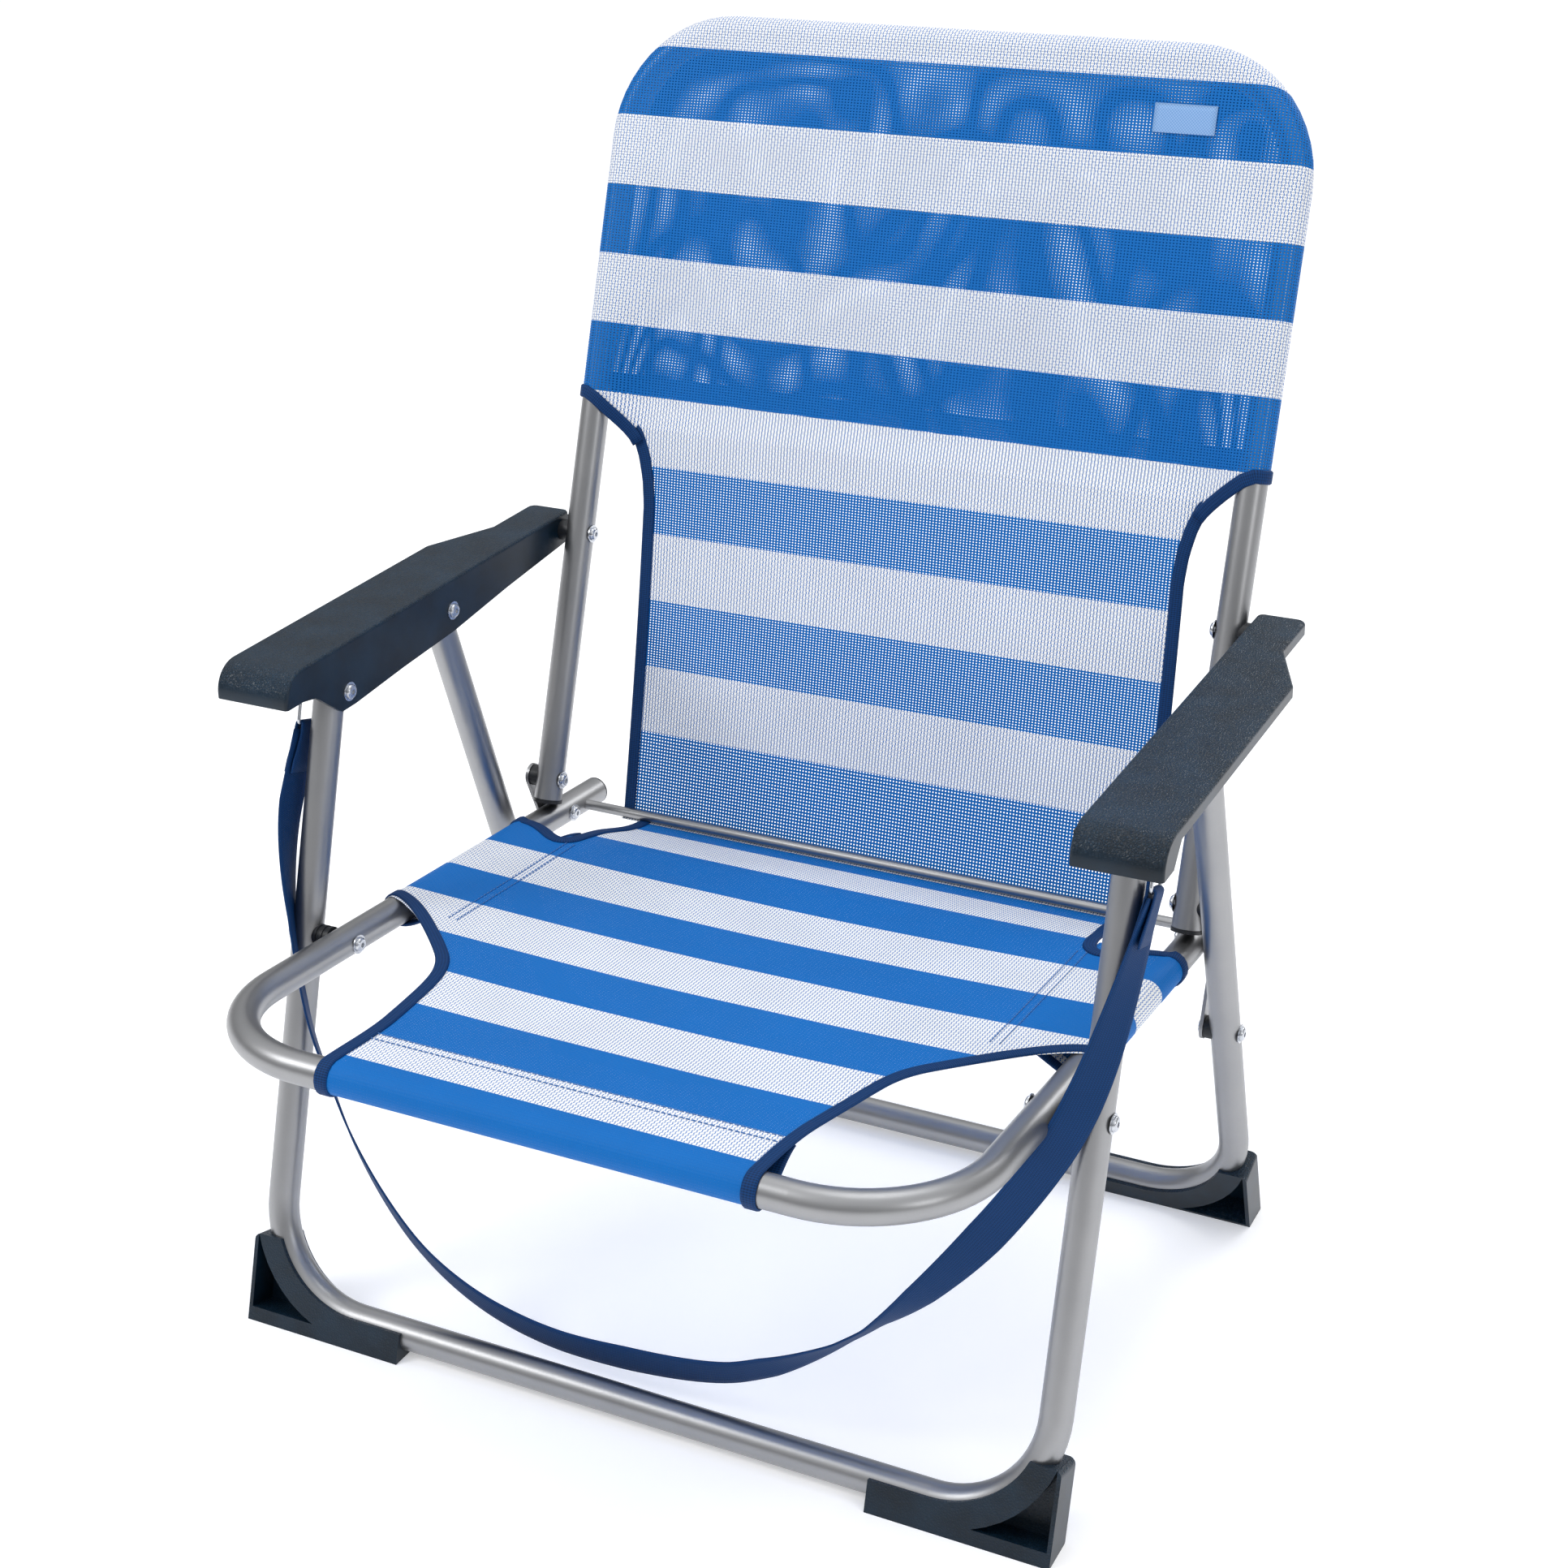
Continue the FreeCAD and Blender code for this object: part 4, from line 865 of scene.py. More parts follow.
def flat_section(width: float, thickness: float, across: int = 4) -> list[tuple[float, float]]:
    """Section of a tape with round edges.

    Args:
        width: Overall width.
        thickness: Overall thickness.
        across: Steps over the flat part.

    Returns:
        (side, up) corners, counterclockwise.
    """
    r = thickness / 2
    run = width / 2 - r
    lower = [(-run + 2 * run * k / across, -r) for k in range(across + 1)]
    upper = [(-x, r) for x, _ in lower]
    return lower + [(width / 2, 0.0)] + upper + [(-width / 2, 0.0)]


def stations_on(
    points: Sequence[Vector],
    out: Callable[[int], Vector],
    start: float = 0.0,
) -> list[Station]:
    """Stations for a tape that lies on a surface.

    Args:
        points: Middle line of the tape.
        out: Gives the surface's outward direction at a point's index.
        start: Length along the tape at its first point.

    Returns:
        One station a point, with side across the tape and up off the surface.
    """
    made = []
    length = start
    for k, point in enumerate(points):
        before, after = points[max(0, k - 1)], points[min(len(points) - 1, k + 1)]
        way = (after - before).normalized()
        up = out(k)
        up = (up - way * up.dot(way)).normalized()
        if k:
            length += (point - points[k - 1]).length
        made.append(Station(point, way.cross(up), up, length))
    return made


def smooth_line(points: Sequence[Vector], step: float) -> list[Vector]:
    """Round line through given points.

    Args:
        points: Points to pass through.
        step: Rough distance between the points returned.

    Returns:
        Points on the rounded line.
    """
    made = [points[0]]
    for k in range(len(points) - 1):
        p0 = points[max(0, k - 1)]
        p1, p2 = points[k], points[k + 1]
        p3 = points[min(len(points) - 1, k + 2)]
        count = max(1, round((p2 - p1).length / step))
        for j in range(1, count + 1):
            t = j / count
            made.append(
                0.5
                * (
                    2 * p1
                    + (p2 - p0) * t
                    + (2 * p0 - 5 * p1 + 4 * p2 - p3) * t * t
                    + (3 * p1 - p0 - 3 * p2 + p3) * t**3
                )
            )
    return made


def stitch_row(
    made: bmesh.types.BMesh,
    line: Callable[[float], tuple[Vector, Vector]],
    length: float,
    pitch: float = 4.2 * MM,
) -> None:
    """Sew a row of raised stitches.

    Args:
        made: Mesh that takes the stitches; it has a "flat" layer.
        line: Gives the point on the cloth and the outward direction at a length.
        length: Length of the row.
        pitch: From one stitch to the next.
    """
    thread = 0.32 * MM
    shown, rise, crown = 0.68, 1.2, 0.6
    section = [
        (-thread, -thread),
        (thread, -thread),
        (crown * thread, thread),
        (-crown * thread, thread),
    ]
    for k in range(int(length / pitch)):
        a, out = line(k * pitch)
        b, _ = line(k * pitch + shown * pitch)
        middle = (a + b) / 2 + out * thread * rise
        way = (b - a).normalized()
        side = way.cross(out).normalized()
        stations = [
            Station(a, side, out, 0.0),
            Station(middle, side, out, pitch / 2),
            Station(b, side, out, pitch),
        ]
        sweep(made, section, stations)


# ---------------------------------------------------------------- the chair's planes


def joint_at(name: str) -> Vector:
    """Place of a joint in the row frame."""
    found = next(j for j in frame["joints"] if j["name"] == name)
    return Vector(found["pos_m"])


BACK_LINK = joint_at("link_left_pivot")
ARM_REAR = joint_at("backrest_fold")
ARM_FRONT = joint_at("armrest_left_pivot")
SEAT_LINK = joint_at("seat_pivot")
TUBE = 11.0 * MM
RAIL_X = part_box("seat_frame")[1].x - TUBE

BACK_ALONG = (ARM_REAR - BACK_LINK).normalized()
BACK = SidePlane(BACK_LINK, BACK_ALONG, Vector((0, BACK_ALONG.z, -BACK_ALONG.y)))
BACK_TOP = (ARM_REAR - BACK_LINK).length + 392.5 * MM

SEAT_FALL = math.radians(3.85)
SEAT_ALONG = Vector((0, math.cos(SEAT_FALL), -math.sin(SEAT_FALL)))
SEAT = SidePlane(
    SEAT_LINK - SEAT_ALONG * 469.6 * MM,
    SEAT_ALONG,
    Vector((0, math.sin(SEAT_FALL), math.cos(SEAT_FALL))),
)
ROD_AT = 490.5 * MM
ROD_RADIUS = 4.0 * MM
# The cross rod as the plane of the backrest sees it.
_ROD = SEAT.at(0, ROD_AT, 0) - BACK_LINK
ROD_BACK = (_ROD.dot(BACK.along), _ROD.dot(BACK.off))


# ---------------------------------------------------------------- back fabric


@dataclass
class BackFabric:
    """Striped mesh of the backrest: a double sock over the tube and a single panel below it."""

    bend: float = 85.0 * MM
    roll: float = TUBE + 0.55 * MM
    sock_end: float = 305.0 * MM
    seam: float = 283.0 * MM
    seam_depth: float = 8.0 * MM
    shoulder: tuple[tuple[float, float], ...] = (
        (283 * MM, 236 * MM),
        (287 * MM, 241 * MM),
        (292 * MM, 248 * MM),
        (298 * MM, 256 * MM),
        (305 * MM, 265 * MM),
    )
    waist: tuple[tuple[float, float], ...] = (
        (-40 * MM, 221 * MM),
        (225 * MM, 220 * MM),
        (245 * MM, 222 * MM),
        (262 * MM, 226 * MM),
        (275 * MM, 231 * MM),
        (283 * MM, 236 * MM),
    )
    hem: tuple[float, float] = (309 * MM, 324 * MM)
    tape_width: float = 10.0 * MM
    tape_thickness: float = 2.2 * MM
    columns: int = 132
    rows: int = 84
    rim_steps: int = 8
    keep: float = 0.33
    pieces: list[bpy.types.Object] = field(default_factory=list)

    def depth(self, x: float, s: float) -> float:
        """How far the front layer lies off the plane of the tubes.

        Args:
            x: Place across the chair.
            s: Place along the backrest.

        Returns:
            Distance behind the plane; a negative one is in front of it.
        """
        pull = between(
            (
                (self.sock_end, self.roll + self.seam_depth - 0.5 * MM),
                (360 * MM, 15 * MM),
                (430 * MM, 8.5 * MM),
                (520 * MM, 3 * MM),
                (BACK_TOP, 0.0),
            ),
            s,
        )
        if s < self.sock_end:
            pull = self.roll + self.seam_depth
        inner = between(((self.sock_end, 222 * MM), (400 * MM, 190 * MM), (560 * MM, 120 * MM)), s)
        slack = 1 - ease(inner, RAIL_X, abs(x))
        ripple = 0.9 * MM * noise.noise(Vector((x / 0.09, s / 0.16, 3.1)))
        return -self.roll + (pull + ripple * ease(0, 40 * MM, RAIL_X - abs(x))) * slack

    def front_place(self, u: float, v: float) -> tuple[float, float, Vector]:
        """Place of a grid point inside the line of the tubes.

        Args:
            u: From -1 at one post to 1 at the other.
            v: From 0 at the seam to 1 at the top bar.

        Returns:
            x and s of the point, and the direction out over the tube there.
        """
        flat_share = 0.80
        side = math.copysign(1.0, u)
        if abs(u) <= flat_share:
            x = (RAIL_X - self.bend) * u / flat_share
            top = BACK_TOP
            out = Vector((0, 1, 0))
        else:
            angle = (abs(u) - flat_share) / (1 - flat_share) * math.pi / 2
            x = side * (RAIL_X - self.bend + self.bend * math.sin(angle))
            top = BACK_TOP - self.bend + self.bend * math.cos(angle)
            out = Vector((side * math.sin(angle), math.cos(angle), 0))
        low = 0.09
        if v < low:
            s = self.seam + (self.sock_end - self.seam) * v / low
            x *= between(self.shoulder, s) / RAIL_X
        else:
            s = self.sock_end + (top - self.sock_end) * (v - low) / (1 - low)
        return x, s, out

    def drift(self, x: float, s: float) -> Vector:
        """How far the yarns of the back layer have slid against those of the front one.

        Args:
            x: Place across the chair.
            s: Place along the backrest.

        Returns:
            The slide, across and along the flat cloth.
        """
        free = ease(0, 50 * MM, RAIL_X - abs(x)) * ease(0, 50 * MM, BACK_TOP - s)
        across = noise.noise(Vector((x / 0.10, s / 0.17, 5.2)))
        along = noise.noise(Vector((x / 0.08, s / 0.12, 9.4)))
        return Vector((6 * MM * across, 5 * MM * along, 0)) * free

    def build_sock(self) -> None:
        """Front layer, the roll over the tube and the back layer, in one piece."""
        made = new_cloth()
        out = made.verts.layers.float_vector.new("out")
        axis = made.verts.layers.float_vector.new("axis")
        # New layers move the others, so this one is fetched after them.
        flat = made.verts.layers.float_vector.get("flat")
        for layer in ("front", "back"):
            grid = bmesh.ops.create_grid(
                made, x_segments=self.columns, y_segments=self.rows, size=1.0
            )["verts"]
            cut = []
            for point in grid:
                u, v = point.co.x, (point.co.y + 1) / 2
                x, s, way = self.front_place(u, v)
                n = self.depth(x, s) if layer == "front" else self.roll
                point.co = BACK.at(x, s, n)
                point[flat] = Vector((x, s, 0))
                if layer == "back":
                    point[flat] += self.drift(x, s)
                point[axis] = Vector((x, s, 0))
                point[out] = way
                if layer == "back" and s < self.sock_end - 1e-6:
                    cut.append(point)
            bmesh.ops.delete(made, geom=cut, context="VERTS")
            if layer == "front":
                self.roll_over(made, axis, out, flat)
        bmesh.ops.remove_doubles(made, verts=made.verts, dist=0.05 * MM)
        bmesh.ops.recalc_face_normals(made, faces=made.faces)
        piece = publish(made, "back_sock", BACK_MESH, Body.BACK)
        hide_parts("back_fabric")
        self.pieces.append(piece)

    def roll_over(
        self,
        made: bmesh.types.BMesh,
        axis: bmesh.types.BMLayerItem,
        out: bmesh.types.BMLayerItem,
        flat: bmesh.types.BMLayerItem,
    ) -> None:
        """Roll the cloth from the front layer over the tube to the back.

        Args:
            made: Mesh with the front layer.
            axis: Layer with each point's place on the plane of the tubes.
            out: Layer with the way out over the tube.
            flat: Layer with the place on the flat cloth.
        """
        edges = [
            e
            for e in made.edges
            if e.is_boundary and all(v[axis].y > self.sock_end - 1e-6 for v in e.verts)
            and not all(v[axis].y < self.sock_end + 1e-6 for v in e.verts)
        ]
        for k in range(1, self.rim_steps + 1):
            angle = math.pi * k / self.rim_steps
            grown = bmesh.ops.extrude_edge_only(made, edges=edges)["geom"]
            edges = [g for g in grown if isinstance(g, bmesh.types.BMEdge)]
            for point in (g for g in grown if isinstance(g, bmesh.types.BMVert)):
                base, way = point[axis], point[out]
                lift = self.roll * math.sin(angle)
                point.co = BACK.at(
                    base.x + way.x * lift, base.y + way.y * lift, -self.roll * math.cos(angle)
                )
                point[flat] = base + way * self.roll * min(angle, math.pi - angle)

    def build_hem(self) -> None:
        """Turned-up hem of the back layer, seen through the front one."""
        made = new_cloth()
        flat = made.verts.layers.float_vector.get("flat")
        grid = bmesh.ops.create_grid(made, x_segments=60, y_segments=3, size=1.0)["verts"]
        low, high = self.hem
        for point in grid:
            x = point.co.x * (RAIL_X - 3 * MM)
            s = low + (high - low) * (point.co.y + 1) / 2
            point.co = BACK.at(x, s, self.roll - 0.9 * MM)
            point[flat] = Vector((x + 0.9 * MM, s + 0.7 * MM, 0))
        self.pieces.append(publish(made, "back_hem", BACK_MESH, Body.BACK))

    def panel_place(self, v: float) -> tuple[float, float, float]:
        """Side view of the panel.

        Args:
            v: From 0 at the seam to 1 at its lower end under the cross rod.

        Returns:
            s, n and the length of cloth below the seam.
        """
        rod_s, rod_n = ROD_BACK
        end = (rod_s + 2 * MM, rod_n + ROD_RADIUS + 0.8 * MM)
        run = math.dist((self.seam, self.seam_depth), end)
        wrap, slack = 10 * MM, 3.0 * MM
        reach = ROD_RADIUS + 0.8 * MM
        length = v * (run + wrap)
        if length <= run:
            share = length / run
            bow = slack * math.sin(math.pi * share)
            s = self.seam + (end[0] - self.seam) * share
            n = self.seam_depth + (end[1] - self.seam_depth) * share + bow
            return s, n, length
        angle = (length - run) / reach
        s = rod_s + 2 * MM * math.cos(angle) - reach * math.sin(angle)
        return s, rod_n + reach * math.cos(angle), length

    def printed(self, v: float) -> float:
        """Place in the stripes, the last of them drawn longer where the cloth strains on the rod.

        Args:
            v: Place along the backrest, as the cloth lies.

        Returns:
            Place along the pattern.
        """
        last, strain = 42 * MM, 0.78
        return v if v > last else last + (v - last) * strain

    def build_panel(self) -> None:
        """Single panel from the seam down behind the cross rod."""
        made = new_cloth()
        flat = made.verts.layers.float_vector.get("flat")
        grid = bmesh.ops.create_grid(made, x_segments=90, y_segments=110, size=1.0)["verts"]
        for point in grid:
            s, n, length = self.panel_place((1 - point.co.y) / 2)
            half = between(self.waist, s)
            x = point.co.x * half
            point.co = BACK.at(x, s, n)
            point[flat] = Vector((x, self.printed(self.seam - length), 0))
        bmesh.ops.recalc_face_normals(made, faces=made.faces)
        piece = publish(made, "back_lower_panel", BACK_MESH, Body.BACK)
        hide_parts("back_panel")
        self.fold_with(piece)
        self.pieces.append(piece)

    def fold_with(self, piece: bpy.types.Object) -> None:
        """Give a piece of the panel a mesh of its own, left in its rest shape.

        Args:
            piece: A piece of the panel, in its rest shape.
        """
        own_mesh(piece)

    def build_tapes(self) -> None:
        """Binding tape round the cut-out at each shoulder and down each side of the panel."""
        upper = new_cloth()
        lower = new_cloth()
        section = flat_section(self.tape_width, self.tape_thickness)
        lift, inset = 0.6 * MM, 3.5 * MM
        steps, first, turn = 10, 170, 15
        for side in (-1, 1):
            line: list[Vector] = []
            outs: list[Vector] = []
            for k in range(steps + 1):
                angle = math.radians(first - turn * k)
                reach = self.roll + lift
                drop = 2.0 * MM - 1.0 * MM * k / steps
                line.append(
                    BACK.at(
                        side * (RAIL_X + reach * math.sin(angle)),
                        self.sock_end + drop,
                        -reach * math.cos(angle),
                    )
                )
                outs.append(
                    Vector((side * math.sin(angle), 0, 0)) - BACK.off * math.cos(angle)
                )
            corner = [
                (260.5, 302),
                (253.5, 296.5),
                (246.5, 291),
                (240.5, 286),
                (235.5, 281.5),
                (230.8, 276.5),
                (227.3, 271.5),
            ]
            for x, s in corner:
                n = self.depth(x * MM, s * MM) - lift
                line.append(BACK.at(side * x * MM, s * MM, n))
                outs.append(-BACK.off)
            stations = stations_on(line, lambda k, found=outs: found[k])
            sweep(upper, section, stations)
            below = []
            count = 46
            for k in range(count + 1):
                s, n, _ = self.panel_place(0.985 * k / count)
                x = between(self.waist, s) - inset
                below.append(BACK.at(side * x, s, n - lift))
            sweep(lower, section, stations_on(below, lambda k: -BACK.off))
        tape = publish(upper, "back_shoulder_tape", EDGE_TAPE, Body.BACK)
        self.pieces.append(tape)
        tape = publish(lower, "back_panel_tape", EDGE_TAPE, Body.BACK)
        self.fold_with(tape)
        self.pieces.append(tape)

    def build_patch(self) -> None:
        """Blank woven label near one top corner."""
        made = new_cloth()
        flat = made.verts.layers.float_vector.get("flat")
        grid = bmesh.ops.create_grid(made, x_segments=10, y_segments=5, size=1.0)["verts"]
        for point in grid:
            x = (182 + 23 * point.co.x) * MM
            s = (546 + 10 * point.co.y) * MM
            point.co = BACK.at(x, s, self.depth(x, s) - 1.0 * MM)
            point[flat] = Vector((x, s, 0))
        bmesh.ops.solidify(made, geom=list(made.faces), thickness=0.5 * MM)
        bmesh.ops.recalc_face_normals(made, faces=made.faces)
        self.pieces.append(publish(made, "back_label_patch", PATCH, Body.BACK))

    def build_stitches(self) -> None:
        """Two rows along the hem."""
        made = new_cloth()
        width = 2 * (RAIL_X - 14 * MM)
        for s in (self.hem[0] + 2 * MM, self.hem[1] - 2 * MM):
            stitch_row(
                made,
                lambda t, at=s: (
                    BACK.at(t - width / 2, at, self.roll + 0.3 * MM),
                    BACK.off.copy(),
                ),
                width,
            )
        self.pieces.append(publish(made, "back_hem_stitches", THREAD, Body.BACK))

    def build(self) -> None:
        """Make every piece of the back."""
        self.build_sock()
        self.build_hem()
        self.build_panel()
        self.build_tapes()
        self.build_patch()
        self.build_stitches()
        self.declare()

    def declare(self) -> None:
        """Takes no step; states no size."""


# ---------------------------------------------------------------- seat fabric


@dataclass
class SeatFabric:
    """Striped mesh of the seat, cut flat and folded round the front bar and the rails."""

    roll: float = TUBE + 0.55 * MM
    under: float = 45.0 * MM
    wing: float = 53.0 * MM
    ply: float = 0.9 * MM
    bow: float = 23 * MM
    columns: int = 170
    rows: int = 190
    outline: tuple[tuple[float, float], ...] = (
        (-81, 154),
        (34, 154),
        (60, 155),
        (84, 158.5),
        (108, 162.5),
        (130, 167),
        (148, 172),
        (163, 180),
        (180, 194),
        (203, 218),
        (220, 238),
        (231, 255),
        (236, 268),
        (239, 285),
        (240, 354),
        (393, 354),
        (394, 222),
        (397, 215.5),
        (403, 212),
        (435, 208),
        (461, 204),
        (499, 203),
    )
    tape_width: float = 10.0 * MM
    tape_thickness: float = 2.2 * MM
    pieces: list[bpy.types.Object] = field(default_factory=list)

    def level(self, x: float, a: float) -> float:
        """Height of the open cloth over the plane of the rails.

        Args:
            x: Place across the chair.
            a: Place back from the front bar.

        Returns:
            Height above the axes of the tubes.
        """
        across = 1 - min(1.0, abs(x) / RAIL_X) ** 2
        length = ease(0, 140 * MM, a) * (1 - ease(330 * MM, ROD_AT, a))
        sag = 6.0 * MM * across * length
        wave = 0.5 * MM * noise.noise(Vector((x / 0.11, a / 0.07, 8.7))) * length
        rear = ease(395 * MM, ROD_AT, a)
        top = self.roll - sag + wave
        return top + (-ROD_RADIUS - self.ply - top) * rear

    def fold(self, x: float, a: float) -> Vector:
        """Place of a point of the flat cloth on the chair.

        Args:
            x: Place across the flat cloth.
            a: Place along it, from the front bar.

        Returns:
            The point in the row frame.
        """
        side = math.copysign(1.0, x)
        far = abs(x) - RAIL_X
        if far > 0:
            angle = far / self.roll
            if angle <= math.pi:
                return SEAT.at(
                    side * (RAIL_X + self.roll * math.sin(angle)), a, self.roll * math.cos(angle)
                )
            back = far - math.pi * self.roll
            at = RAIL_X - back
            low = self.level(at, a) - self.ply
            return SEAT.at(
                side * at, a, -self.roll + (low + self.roll) * ease(0, self.wing, back)
            )
        if a < 0:
            angle = -a / self.roll
            if angle <= math.pi:
                return SEAT.at(x, -self.roll * math.sin(angle), self.roll * math.cos(angle))
            back = -a - math.pi * self.roll
            low = self.level(x, back) - self.ply
            return SEAT.at(
                x, back, -self.roll + (low + self.roll) * ease(0, self.under, back)
            )
        if a > ROD_AT:
            reach = ROD_RADIUS + self.ply
            angle = (a - ROD_AT) / reach
            return SEAT.at(x, ROD_AT + reach * math.sin(angle), -reach * math.cos(angle))
        return SEAT.at(x, a, self.level(x, a))

    def rear_bow(self, x: float, a: float) -> float:
        """How far the rear edge of a side wing runs back of the notch beside it.

        Args:
            x: Place across the flat cloth.
            a: Place along it.

        Returns:
            The extra length there.
        """
        return self.bow * ease(222 * MM, 268 * MM, abs(x)) * ease(300 * MM, 393 * MM, a)

    def build_cloth(self) -> None:
        """Cut the cloth flat, then fold it over the front bar and the rails."""
        made = new_cloth()
        flat = made.verts.layers.float_vector.get("flat")
        grid = bmesh.ops.create_grid(
            made, x_segments=self.columns, y_segments=self.rows, size=1.0
        )["verts"]
        pattern = [(a * MM, w * MM) for a, w in self.outline]
        for point in grid:
            a, half = along_outline(pattern, (point.co.y + 1) / 2)
            x = point.co.x * half
            a += self.rear_bow(x, a)
            point[flat] = Vector((x, a, 0))
            point.co = self.fold(x, a)
        bmesh.ops.recalc_face_normals(made, faces=made.faces)
        piece = publish(made, "seat_cloth", SEAT_MESH, Body.SEAT)
        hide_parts("seat_fabric")
        self.pieces.append(piece)

    def out_at(self, x: float, a: float) -> Vector:
        """Direction off the outer face of the cloth.

        Args:
            x: Place across the flat cloth.
            a: Place along it.

        Returns:
            Unit direction away from the tube, or up from the open cloth.
        """
        tiny = 0.5 * MM
        across = self.fold(x + tiny, a) - self.fold(x - tiny, a)
        along = self.fold(x, a + tiny) - self.fold(x, a - tiny)
        return across.cross(along).normalized()

    def tape(self, made: bmesh.types.BMesh, corners: Sequence[tuple[float, float]]) -> None:
        """Sew binding tape along flat places of the edge, on both sides of the chair.

        Args:
            made: Mesh that takes the tape.
            corners: (x, a) of the edge in millimetres, for positive x.
        """
        section = flat_section(self.tape_width, self.tape_thickness)
        drawn = smooth_line([Vector((x * MM, a * MM, 0)) for x, a in corners], 3.5 * MM)
        for side in (-1, 1):
            points = [self.fold(side * p.x, p.y) for p in drawn]
            outs = [self.out_at(side * p.x, p.y) for p in drawn]
            points = [p + o * 0.3 * MM for p, o in zip(points, outs)]
            sweep(made, section, stations_on(points, lambda k, found=outs: found[k]))

    def build_tapes(self) -> None:
        """Binding tape round the front and the rear cut-outs."""
        made = new_cloth()
        front = [
            (151, -78),
            (151, -40),
            (151, 0),
            (151, 34),
            (152.5, 60),
            (156, 84),
            (160, 108),
            (164, 130),
            (169, 149),
            (177.5, 166),
            (192, 183),
            (216, 207),
            (236, 225),
            (251, 236),
            (264, 242),
            (280, 243.5),
            (300, 243.5),
            (322, 243.5),
            (350, 243.5),
        ]
        rear = [
            (350, 412.5),
            (320, 412.5),
            (290, 412.5),
            (268, 412),
            (254, 409),
            (240, 401),
            (228, 393),
            (219, 391),
            (211, 397),
            (207.5, 410),
            (205, 435),
            (201, 461),
            (200, 488),
            (200, 497),
        ]
        for edge in (front, rear):
            self.tape(made, edge)
        self.pieces.append(publish(made, "seat_edge_tape", EDGE_TAPE, Body.SEAT))

    def build_stitches(self) -> None:
        """Double rows that close the sleeves of the front bar and of the rails."""
        made = new_cloth()
        half, first, run = 148 * MM, 226 * MM, 166 * MM
        for a in (38 * MM, 46 * MM):
            stitch_row(
                made,
                lambda t, at=a: (
                    self.fold(t - half, at) + SEAT.off * 0.3 * MM,
                    SEAT.off.copy(),
                ),
                2 * half,
            )
        for side in (-1, 1):
            for x in (205 * MM, 212 * MM):
                stitch_row(
                    made,
                    lambda t, at=side * x: (
                        self.fold(at, first + t) + SEAT.off * 0.3 * MM,
                        SEAT.off.copy(),
                    ),
                    run,
                )
        self.pieces.append(publish(made, "seat_stitches", THREAD, Body.SEAT))

    def build(self) -> None:
        """Make every piece of the seat."""
        self.build_cloth()
        self.build_tapes()
        self.build_stitches()
        self.declare()

    def declare(self) -> None:
        """Takes no step; states no size or area."""


# ---------------------------------------------------------------- carrying strap


